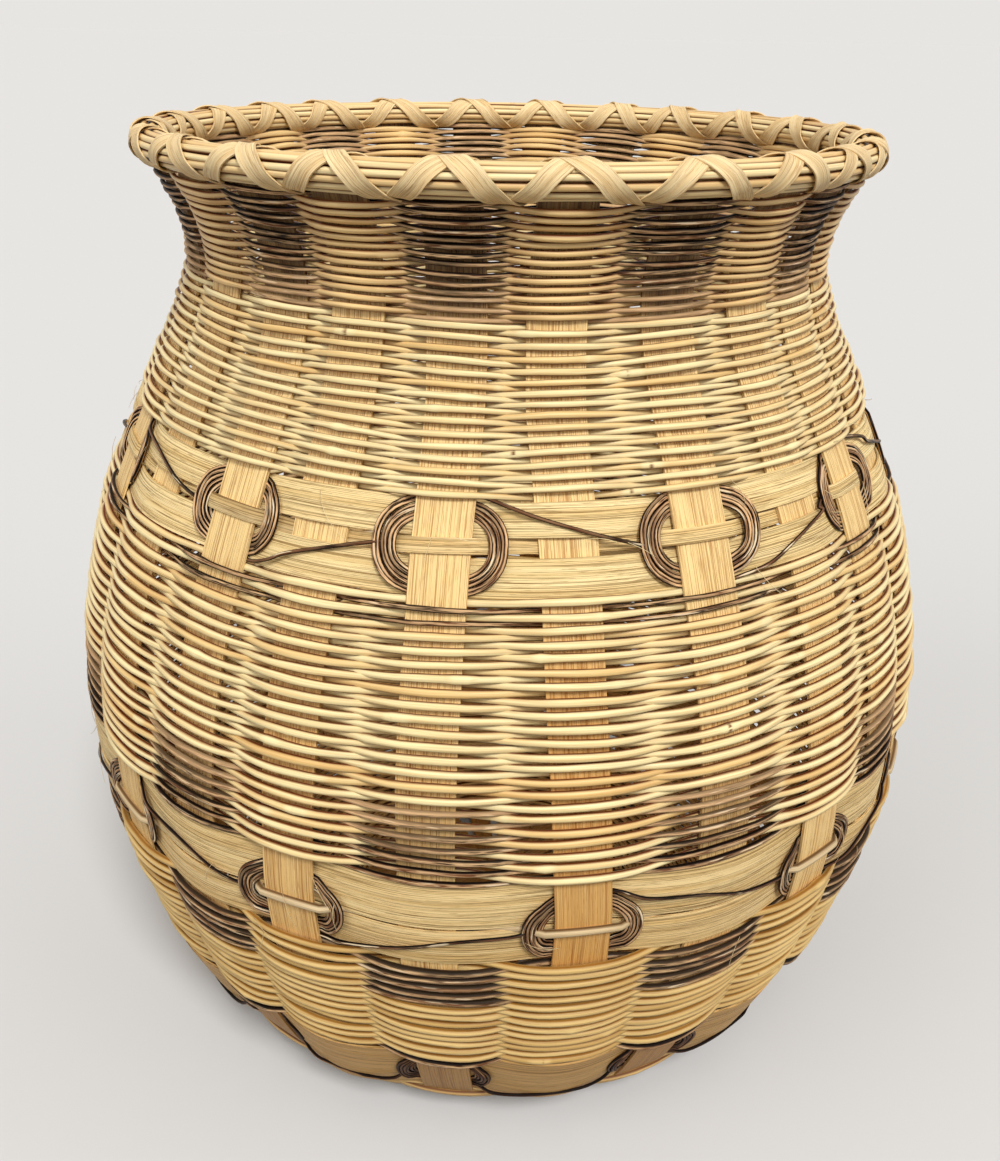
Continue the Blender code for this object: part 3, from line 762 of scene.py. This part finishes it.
# How much thinner the two weavers press each other where they cross, and how much painted shade darkens them
# there.
PRESSED = {"base": 0.06, "lower": 0.06, "middle": 0.15, "upper": 0.13, "neck": 0.16}
DIVE_SHADE = {"base": 0.35, "lower": 0.35, "middle": 0.35, "upper": 0.35, "neck": 1.0}
KNUCKLE = 0.0028  # half the length of a knuckle, in metres
UNFADED = (0.0, 0.0, 0.0, 1.0)


def knuckles(reach, rng):
    """How much the vine's knuckles swell the rod, and how scarred they are, at each point."""
    swell, scars = np.ones_like(reach), np.zeros_like(reach)
    at = rng.uniform(0.02, 0.3)
    while at < reach[-1]:
        bulge = np.exp(-((reach - at) / KNUCKLE) ** 2)
        swell = swell * (1 + rng.uniform(0.12, 0.42) * bulge)
        scars = np.maximum(scars, rng.choice([0.4, 0.5, 0.6, 0.7, 0.95]) * bulge)
        at += rng.uniform(0.08, 0.30)
    return swell, scars


def joined_tones(reach, rng):
    """A tone for each length of vine, most of them pale."""
    joins = np.cumsum(rng.uniform(0.7, 1.5, int(reach[-1] / 0.7) + 2))
    tones = 0.95 - 0.55 * rng.uniform(0, 1, len(joins) + 1) ** 2.2
    return tones[np.searchsorted(joins, reach)]


print(sum(count for _, _, count in ROWS.values()) * STAKES, "passes over or under a stake")


# %% The path of one weaver
def weaver_path(part, parity, thick, bow, seed, rows=None, wander=0.7, fade=UNFADED, stray=0.17, back=0.1):
    """One weaver: thick is its thickness and bow how far it swings out over a stake, in millimetres.

    rows picks some of its rows. wander and stray are how unevenly the rows lie, together and each alone. back
    makes it thicker at the back. fade is how worn its dye is low down and high up, and the shares of the
    part's height between which that changes.
    """
    low, high, count = ROWS[part]
    pitch = (high - low) / count
    turns = (count - parity + 1) // 2
    first_row, last_row = rows or (0, turns)
    start = BACK - 1.0 + parity
    t = start + np.arange(first_row * STAKES * STEPS, last_row * STAKES * STEPS + 1) / STEPS
    rng = np.random.default_rng(seed)
    turn = (t - start) / STAKES
    climb = np.floor(turn) + ease(turn - np.floor(turn), *STEP_UP)
    row = parity + 2 * np.minimum(climb, turns - 1)
    length = low + (row + 0.5) * pitch
    angle = stake_angle(t, length)
    edge = ease(np.minimum(length - low, high - length), 0.0, 0.016)
    length = length + round_wave(angle, length, 5) * wander * MM * (0.25 + 0.75 * edge)
    length = length + (slow_wave(t, 7.0, seed + 1) * stray + slow_wave(t, 1.7, seed + 3) * 0.07) * pitch
    if part == "lower":
        length = length - LOW_SAG * np.clip(np.cos(np.pi * t), 0, 1) * (1 - ease(length - low, 0, 0.012))
    over = np.cos(np.pi * t) * (1 if parity == 0 else -1)  # 1 in front of a stake and -1 behind one
    crossing = 1 - over**2
    stakes = np.arange(math.floor(t[0]), math.ceil(t[-1]) + 1)
    strength = np.interp(t, stakes, rng.normal(1.0, 0.13, len(stakes)))
    out = bow * MM * over * (1 + 0.35 * crossing) * strength
    reach = reach_of(spot(angle, length))
    uneven = 0.09 * slow_wave(reach, 0.25, seed + 2) + back * ease(-np.cos(angle), 0, 0.6)
    radius = thick / 2 * MM * (1 + uneven)
    swell, scars = knuckles(reach, rng)
    worn_low, worn_high, from_share, to_share = fade
    # The last value sets the painted shade where the weaver dives behind a stake.
    return {"points": spot(angle, length, out), "face": facing(angle, length),
            "thick": radius * (1 - PRESSED[part] * crossing) * swell, "tone": joined_tones(reach, rng),
            "knot": scars, "start": seed * 1.7,
            "fade": worn_low + (worn_high - worn_low) * ease(row / count, from_share, to_share),
            "dive_shade": DIVE_SHADE[part] * crossing}


def weave(name, part, parity, look, slot, thick, bow, seed, ridge=0.06, **habits):
    """Makes one weaver, or some rows of it, as a piece."""
    path = weaver_path(part, parity, thick, bow, seed, **habits)
    grow(name, ROD_TREE, [path], look, [f"{part}_weave"], slot, sides=8, ridge=ridge * MM, seed=seed)


# %% The base, the lower wall and the middle
weave("base_weaver_first", "base", 0, TAN_REED, "tan_weave", 2.25, 1.0, 11)
weave("base_weaver_second", "base", 1, TAN_REED, "tan_weave", 2.25, 1.0, 12)

# The dark rows are the same weaver with dyed lengths laid in.
weave("lower_weaver_dark_start", "lower", 0, DARK_ROD, "dark_weave", 2.4, 2.4, 21, rows=(0, 1), ridge=0.45)
weave("lower_weaver_light", "lower", 0, LOWER_REED, "light_reed", 2.6, 2.5, 21, rows=(1, 9))
weave("lower_weaver_dark", "lower", 0, DARK_ROD, "dark_weave", 2.4, 2.4, 21, rows=(9, 14), ridge=0.45,
      fade=(0.04, 0.04, 0.0, 1.0))
weave("lower_weaver_second", "lower", 1, LOWER_REED, "light_reed", 2.6, 2.5, 22)

weave("middle_weaver_dark", "middle", 0, DARK_ROD, "dark_weave", 2.1, 2.05, 31, rows=(0, 7), ridge=0.45,
      fade=(0.0, 0.55, 0.06, 0.3))
weave("middle_weaver_light", "middle", 0, PALE_REED, "light_reed", 2.75, 2.05, 31, rows=(7, 20))
weave("middle_weaver_dark_top", "middle", 0, DARK_ROD, "dark_weave", 1.7, 2.0, 31, rows=(20, 22), ridge=0.45)
weave("middle_weaver_second", "middle", 1, PALE_REED, "light_reed", 2.75, 2.05, 32)

# %% The upper wall and the neck
weave("upper_weaver_first", "upper", 0, PALE_REED, "light_reed", 2.2, 1.95, 41)
weave("upper_weaver_second", "upper", 1, PALE_REED, "light_reed", 2.2, 1.95, 42)

# In the neck one weaver is dyed and the other isn't, which gives the columns.
weave("neck_weaver_dark", "neck", 0, DARK_ROD, "dark_weave", 1.7, 1.85, 51, ridge=0.4, wander=0.6,
      fade=(0.6, 0.0, 0.1, 0.35), stray=0.4, back=0.35)
weave("neck_weaver_light", "neck", 1, NECK_REED, "light_reed", 2.0, 2.05, 52, wander=0.6, back=0.25)

# %% [markdown]
# ## The bands
#
# Two of the bands are pairs of wide splints, and the one at the foot is a single one. They go round the
# basket behind the stakes with rings and in front of the plain ones. They hold no load, they are there to
# frame the rings. Straight pieces from stake to stake would break at each one, so a smooth wave between
# "behind" and "in front" bends them, as a real splint bends.

# %% Wide splints round the basket
def hoop(low, high, first, behind, front, amber, seed):
    """A flat strip round the basket between two lengths along the wall; first is a stake that has a ring."""
    t = np.arange(STAKES * 14) / 14 - STAKES // 2
    angle = stake_angle(t, (low + high) / 2)
    wave = np.cos(np.pi * (t - first))
    out = (front + behind) / 2 + (behind - front) / 2 * wave + 0.15 * round_wave(angle, 0.0, seed + 1)
    middle = (low + high) / 2 + round_wave(angle, 0.0, seed, 6) * 0.35 * MM
    half = (high - low) / 2 * (1 + 0.03 * round_wave(angle, 0.0, seed + 2, 12))
    # A band warmer than 0.2 is also darkened, which only the foot band is: painted shade.
    return {"points": spot(angle, middle, out * MM), "face": facing(angle, middle),
            "across": upward(angle, middle), "half": half, "darkening": 0.3 * max(0, amber - 0.2), "amber": amber,
            "start": seed * 0.7, "closed": True}


LOWER_SPLIT = at_height(123.8)
UPPER_SPLIT = at_height(240.8)
LOWER_GAP, UPPER_GAP = 0.9 * MM, 2.7 * MM  # half the gap between a band's two splints
BANDS = {  # lower and upper edge, a stake with a ring, how far behind and in front it swings, and warmth
    # The foot band's warmth is partly its colour and partly painted shade.
    "foot_band_splint": (at_height(23.0), at_height(53.4), 0, -2.2, 2.6, 0.6),
    "lower_band_splint_low": (at_height(109.6), LOWER_SPLIT - LOWER_GAP, 1, -2.4, 1.5, 0.2),
    "lower_band_splint_high": (LOWER_SPLIT + LOWER_GAP, at_height(141.6), 1, -2.4, 1.5, 0.1),
    "upper_band_splint_low": (at_height(227.8), UPPER_SPLIT - UPPER_GAP, 0, -2.4, 1.5, 0.0),
    "upper_band_splint_high": (UPPER_SPLIT + UPPER_GAP, at_height(252.8), 0, -2.4, 1.5, 0.0),
}
for index, (name, sizes) in enumerate(BANDS.items()):
    grow(f"wide_{name}", SPLINT_TREE, [hoop(*sizes, 60 + 3 * index)], BAND_OAK,
         [name], "pale_oak_splint", thickness=0.8 * MM, ridge=0.12 * MM, cup=0.25 * MM, cuts=7, seed=60 + index)

# %% [markdown]
# ## The vine rings
#
# At every second stake a dyed vine is coiled into a flat ring of five or six turns. The ring slips behind
# its stake, lies on the wide splints beside it, and the vine then runs on over the next plain stake. A few
# concentric circles would look alike from afar, but a spiral has the one end that leaves it, and nests
# its turns unevenly as wound vine does.

# %% A spiral ring and the run to the next one
VINE_RADIUS = 0.6 * MM
RING_TURNS = 5 + 195 / 360  # it ends behind the stake, just before the top
RING_STEPS = 44  # points in a turn
RING_NEST = 6.5  # how much smaller its innermost turn is than its outermost, in millimetres
ROUNDNESS = 0.86  # under 1 makes the oval a little squarer
# The run to the next ring: how high it lies as a share of the ring's half height, and how far out it is.
RUN = ((0.95, -0.4), (0.78, 1.3), (0.56, 2.7), (0.21, 2.7), (0.04, 0.5), (-0.06, -0.9))
FOOT_RUN = ((0.94, -0.4), (0.94, 1.6), (0.94, 3.3), (0.9, 3.3), (0.7, 1.3), (0.3, -0.6))
# How much wider and higher than the common size three rings of the upper band are.
RING_SIZE = {("upper", 22): (0.95, 0.98), ("upper", 0): (1.06, 1.08), ("upper", 2): (1.12, 1.07)}
RING_TONE, LOWER_RING_TONE, RUN_TONE = 0.42, 0.26, 0.05  # a high tone shows more worn bark and more painted highlight on the crests


def squared(waves):
    """A sine or cosine made blunter, which makes an oval squarer."""
    return np.sign(waves) * np.abs(waves) ** ROUNDNESS


def ring_path(stake, middle, wide, high, upside, seed, run, tone):
    """The vine of one ring, in millimetres: wide and high are half the size of its outer turn."""
    rng = np.random.default_rng(seed)
    degrees = np.linspace(270, 270 - 360 * RING_TURNS, int(RING_TURNS * RING_STEPS))
    turn = np.radians(degrees)
    nested = RING_NEST * (1 - np.linspace(0, 1, len(turn)))
    nested = nested + 0.14 * slow_wave(degrees, 700.0, seed)
    across = (wide - nested) * squared(np.cos(turn))
    along = (high - nested) * squared(np.sin(turn)) * upside
    # Up to 9.6 mm from its stake's middle the ring is behind the stake, and from 14 mm on it lies on the band.
    out = -1.15 + 1.45 * ease(np.abs(across), 9.6, 14.0) + 0.3 * slow_wave(degrees, 460.0, seed + 1)
    angle = stake_angle(stake, middle)
    tilt = math.radians(rng.uniform(-4, 4))
    turned = across * math.cos(tilt) - along * math.sin(tilt), across * math.sin(tilt) + along * math.cos(tilt)
    points = spot(angle, middle + turned[1] * MM, out * MM, turned[0] * MM)
    # The run goes on from the ring's end, over the next, plain stake, and in under the ring after it.
    plain, after = stake_angle(stake + 1, middle), stake_angle(stake + 2, middle)
    stops = ((angle, 11.0), (angle, wide + 0.5), (plain, -8.0), (plain, 8.0), (after, -wide - 2.5),
             (after, 3.0 - wide))
    knots = [points[-6], points[-1]]
    for (beside, aside), (share, away) in zip(stops, run):
        share = share + rng.uniform(-0.02, 0.02)
        knots.append(spot(beside, middle + high * upside * share * MM, away * MM, aside * MM))
    ring = len(points)
    points = np.vstack([points, smooth_line(knots, 12)[13:]])
    return {"points": points, "face": facing(angle, middle),
            "thick": VINE_RADIUS * (1 + 0.10 * slow_wave(reach_of(points), 0.12, seed + 2)),
            "tone": np.where(np.arange(len(points)) < ring, tone, RUN_TONE), "knot": 0.0,
            "start": rng.uniform(0, 9), "fade": 0.0}


def ring_band(name, band, middle, first, wide, high, nodes, seed, run=RUN, tone=RING_TONE, look=DARK_VINE):
    """The rings of one band as one piece."""
    rng = np.random.default_rng(seed)
    paths = []
    for step in range(0, STAKES, 2):
        stake = (first + step) % STAKES
        wider, higher = RING_SIZE.get((band, stake), rng.uniform(0.98, 1.05, 2))
        upside = 1 if step % 4 == 0 and band != "foot" else -1
        paths.append(ring_path(stake, middle, wide * wider, high * higher, upside, seed + step, run, tone))
    grow(name, ROD_TREE, paths, look, nodes, "dark_vine", sides=10, ridge=0.28 * MM, seed=seed)


ring_band("upper_vine_rings", "upper", UPPER_SPLIT, 0, 18.6, 14.0, ["upper_ring_vine"], 200)
ring_band("lower_vine_rings", "lower", LOWER_SPLIT - 0.4 * MM, 1, 18.8, 13.2, ["lower_ring_vine"], 300,
          tone=LOWER_RING_TONE)
ring_band("foot_vine_rings", "foot", at_height(38.0), 0, 17.0, 12.6, ["foot_band_splint"], 400,
          run=FOOT_RUN, look=FOOT_VINE)

# %% [markdown]
# ## The ties
#
# A narrow strip runs level through the rings: over the stake that each ring goes behind, then down under
# the ring's side and behind the next plain stake. It locks the rings. The upper band's tie is a flat
# splint and the lower one's a round vine. A tie could wave as softly as the wide splints do, but it is narrow
# and pulled tight, so it dives sharply beside each ring.

# %% A flat tie and a round one
def tie_wave(t, first, front, behind):
    """How far out the tie lies: in front over a ring's stake, and behind from the ring's side on."""
    gap = np.abs((t - first + 1) % 2 - 1)
    return (behind + (front - behind) * (1 - ease(gap, 0.25, 0.38))) * MM


t = np.arange(STAKES * 20) / 20 - STAKES // 2
angle = stake_angle(t, UPPER_SPLIT)
level = UPPER_SPLIT + round_wave(angle, 0.0, 77, 10) * 0.7 * MM
flat_tie = {
    "points": spot(angle, level, tie_wave(t, 0, 1.05, -1.0)), "face": facing(angle, level),
    "across": upward(angle, level), "half": 2.3 * MM, "darkening": 0.02 + 0.4 * np.exp(-((t + 1.6) / 1.0) ** 2),
    "amber": 0.05 + 0.15 * np.exp(-(t / 1.2) ** 2), "start": 0.0, "closed": True,
}
grow("upper_tie", SPLINT_TREE, [flat_tie], BAND_OAK, ["upper_tie_splint"], "pale_oak_splint",
     thickness=0.8 * MM, ridge=0.1 * MM, cup=0.2 * MM, cuts=4, seed=81)

angle = stake_angle(t, LOWER_SPLIT)
level = LOWER_SPLIT + round_wave(angle, 0.0, 78, 10) * 0.6 * MM
round_tie = {
    "points": spot(angle, level, tie_wave(t, 1, 1.6, -1.6)), "face": facing(angle, level),
    "thick": 1.35 * MM * (1 + 0.08 * round_wave(angle, 0.0, 79, 20)), "tone": 0.8, "knot": 0.0, "start": 0.0,
    "fade": 0.0, "closed": True,
}
grow("lower_tie", ROD_TREE, [round_tie], TIE_REED, ["lower_tie_vine"], "light_reed", sides=10, ridge=0.12 * MM,
     seed=82)

# %% [markdown]
# ## Stray fibres
#
# Split wood frays. A few hair-thin fibres stand off the splints' edges, and the eye takes them for proof that
# the strips were torn along the grain and not sawn. Each one is a short bent rod on the outside of the wall.

# %% Fibres that stand off the wall
FIBRE_RADIUS = 0.11 * MM


def stray_fibre(rng):
    """One thin fibre near a band."""
    length = rng.choice([UPPER_SPLIT, LOWER_SPLIT]) + rng.normal(0, 13) * MM
    angle = rng.uniform(0, 2 * math.pi)
    way = np.linspace(0, 1, 9)
    long, bend, slope = rng.uniform(6, 17) * MM, rng.normal(0, 0.3), rng.uniform(0, 2 * math.pi)
    along = long * (way * math.sin(slope) + bend * way**2 * math.cos(slope))
    across = long * (way * math.cos(slope) - bend * way**2 * math.sin(slope))
    out = (2.6 + 1.4 * np.sin(way * math.pi * rng.uniform(0.5, 1.0))) * MM
    return {"points": spot(angle, length + along, out, across), "face": facing(angle, length + along),
            "thick": FIBRE_RADIUS * (1 - 0.5 * way), "tone": 1.0, "knot": 0.0, "start": 0.0, "fade": 0.0}


rng = np.random.default_rng(23)
grow("stray_fibres", ROD_TREE, [stray_fibre(rng) for _ in range(80)], PALE_REED, list(BANDS)[1:],
     "pale_oak_splint", sides=5, ridge=0.0, seed=1)

# %% [markdown]
# ## The rim
#
# Round reeds lie side by side round the mouth, some outside the stakes' tops and some inside. They could
# be one moulded ring, but the grooves between the reeds are what the light catches. Two thin splints lash
# them down. They wind opposite ways and cross over every stake.

# %% The rim's reeds
RIM_MIDDLE = 337.6  # the height of the bundles' middle, in millimetres
# Where the reeds lie in the rim's cross section: away from the stakes' middle, and up.
OUTER_REEDS = ((1.3, 3.75), (3.3, 3.0), (4.65, 1.25), (4.75, -0.9), (3.7, -2.75), (1.8, -3.8), (2.4, 0.2))
INNER_REEDS = ((1.25, 3.65), (3.0, 2.8), (4.0, 1.1), (3.8, -0.9), (2.6, -2.4), (1.3, -2.9), (1.9, 0.4))


def rim_spot(angle, out, up):
    """A point of the rim's cross section, in millimetres; the rim leans outward with the stakes' tops."""
    height = RIM_MIDDLE + up
    radius = np.interp(height * MM, WALL[WALL_SIDE, 1], WALL[WALL_SIDE, 0]) + out * MM
    return np.stack(np.broadcast_arrays(radius * np.sin(angle), -radius * np.cos(angle), height * MM), -1)


def rim_reeds(name, side, places, node, seed):
    """The reeds on one side of the stakes, each a hoop that wanders a little."""
    angle = np.linspace(-math.pi, math.pi, 260, endpoint=False)
    paths = []
    for index, (out, up) in enumerate(places):
        sway = round_wave(angle, 0.0, seed + index, 8) * 0.16
        rise = round_wave(angle, 0.0, seed + 20 + index, 8) * 0.16
        points = rim_spot(angle, side * out + sway, up + rise)
        outward = points - rim_spot(angle, 0.0, 0.0)
        paths.append({"points": points, "face": outward / np.linalg.norm(outward, axis=1)[:, None],
                      "thick": 1.07 * MM * (1 + 0.05 * round_wave(angle, 0.0, seed + 40 + index, 12)),
                      "tone": 0.35 + 0.5 * (index % 3) / 2, "knot": 0.0, "start": index * 0.9 + seed,
                      "fade": 0.0, "closed": True})
    grow(name, ROD_TREE, paths, RIM_REED, [node], "light_reed", sides=10, ridge=0.05 * MM, seed=seed)


rim_reeds("rim_reeds_outside", 1, OUTER_REEDS, "rim_reeds_outer", 500)
rim_reeds("rim_reeds_inside", -1, INNER_REEDS, "rim_reeds_inner", 540)


# %% The two lashings
LASH_HALF = 3.0 * MM
INSIDE, OUTSIDE, LASH_HIGH = 5.15, 5.95, 4.85  # half the loop's size: within the wall, outside it, and up
LASH_STEPS = 28  # points in a loop


def lashing_path(turn, off, lift, seed):
    """A lashing that goes once round the rim for each stake; it crosses the other one above and below.

    off is how far it stands off the reeds, and lift how much further where the two cross, in millimetres.
    """
    way = np.arange(STAKES * LASH_STEPS) / LASH_STEPS - STAKES // 2
    angle = stake_angle(turn * way, float(WALL_LENGTH[-1]))
    section = np.radians(90 - way * 360)
    beside, above = np.cos(section), np.sin(section)
    gap = off + lift * np.abs(above) ** 6
    wide = np.where(beside < 0, INSIDE, OUTSIDE) + gap
    high = np.where((beside < 0) & (above < 0), LASH_HIGH - 0.75 * np.abs(beside), LASH_HIGH) + gap
    points = rim_spot(angle, wide * squared(beside), high * squared(above))
    along = np.roll(points, -1, axis=0) - np.roll(points, 1, axis=0)
    along /= np.linalg.norm(along, axis=1)[:, None]
    face = points - rim_spot(angle, 0.0, 0.0)
    face -= np.sum(face * along, axis=1)[:, None] * along
    face /= np.linalg.norm(face, axis=1)[:, None]
    return {"points": points, "face": face, "across": np.cross(face, along),
            "half": LASH_HALF * (1 + 0.06 * slow_wave(way, 3.0, seed)), "darkening": 0.0, "start": seed * 0.9,
            "closed": True}


for name, turn, off, lift, node, seed in (("lashing_below", -1, 0.15, 0.0, "rim_lashing_under", 91),
                                          ("lashing_above", 1, 0.25, 0.55, "rim_lashing_over", 92)):
    grow(name, SPLINT_TREE, [lashing_path(turn, off, lift, seed)], LASH_OAK, [node], "lashing_splint",
         thickness=0.45 * MM, ridge=0.08 * MM, cup=0.12 * MM, cuts=5, seed=seed)

# %% [markdown]
# ## Floor, light and camera
#
# A plain pale floor and three large soft lamps show the weave without a hard shadow. The camera stands
# close and looks down at the basket, as the photograph does, so that the mouth shows as an ellipse and the
# foot narrows away. The lamps could be area lamps near the basket, but they would light a floor this wide
# unevenly. A sun stands infinitely far away, and a wide angle makes its shadows soft.

# %% The floor
FLOOR_HALF = 40.0
FLOOR_DROP = 0.0002  # it lies this far under the basket, so that their faces don't share a plane


def seen_ray(tree):
    """1 for what the camera or a glossy surface sees, 0 for light that a surface throws on to others."""
    ray = add(tree, "ShaderNodeLightPath")
    return arithmetic(tree, "MAXIMUM", ray.outputs["Is Camera Ray"], ray.outputs["Is Glossy Ray"])


floor_mesh = bpy.data.meshes.new("studio_floor")
corners = [(x * FLOOR_HALF, y * FLOOR_HALF, 0) for x, y in ((-1, -1), (1, -1), (1, 1), (-1, 1))]
floor_mesh.from_pydata(corners, [], [(0, 1, 2, 3)])
floor = new_object("studio_floor", floor_mesh)
floor.location.z = -FLOOR_DROP
floor_look, floor_tree, floor_shader = new_look("studio_floor", 0.8, 0.0)
floor_mesh.materials.append(floor_look)
# The floor looks pale, but throws back only as much light as a mid-grey table would.
floor_tree.links.new(blend(floor_tree, seen_ray(floor_tree), paint(112, 112, 114), paint(215, 215, 215)),
                     floor_shader.inputs["Base Color"])
print("the floor is", 2 * FLOOR_HALF, "metres wide, so its edge is out of sight")


# %% The lamps and what lies beyond the floor
def soft_sun(name, height, turn, strength, spread):
    """A far lamp, so that the floor is lit evenly: height and turn are where it stands, in degrees."""
    data = bpy.data.lights.new(name, "SUN")
    data.energy = strength
    data.angle = math.radians(spread)
    new_object(name, data).rotation_euler = (math.radians(90 - height), 0.0, math.radians(turn))


soft_sun("key_sun", 50, 18, 2.2, 16)
soft_sun("fill_sun", 30, -55, 0.72, 45)
soft_sun("side_sun", 25, 72, 0.5, 45)

# What the camera sees beyond the floor is pale too, but that brightness doesn't light the basket.
world = bpy.data.worlds.new("studio_world")
world.use_nodes = True
sky = world.node_tree
lit = sky.nodes["Background"]
lit.inputs["Color"].default_value = paint(255, 249, 240)
lit.inputs["Strength"].default_value = 0.46
seen = add(sky, "ShaderNodeBackground", Color=paint(231, 229, 226), Strength=1.0)
chosen = add(sky, "ShaderNodeMixShader", in0=seen_ray(sky), in1=lit.outputs[0], in2=seen.outputs[0])
sky.links.new(chosen.outputs[0], sky.nodes["World Output"].inputs["Surface"])
bpy.context.scene.world = world
bpy.context.scene.view_settings.view_transform = "Standard"
print(len(bpy.data.lights), "lamps")

# %% The camera
camera_data = bpy.data.cameras.new("photo_camera")
camera_data.lens = 36.496
camera_data.sensor_width = 36.0
camera_data.clip_start = 0.01
camera = new_object("photo_camera", camera_data)
camera.matrix_world = (Matrix.Translation((0.0, -0.4410, 0.3746)) @ Matrix.Rotation(math.radians(64.62), 4, "X")
                       @ Matrix.Rotation(math.radians(1.12), 4, "Z"))
bpy.context.scene.camera = camera
print("the camera stands", round(camera.matrix_world.translation.length, 3), "metres from the basket's foot")
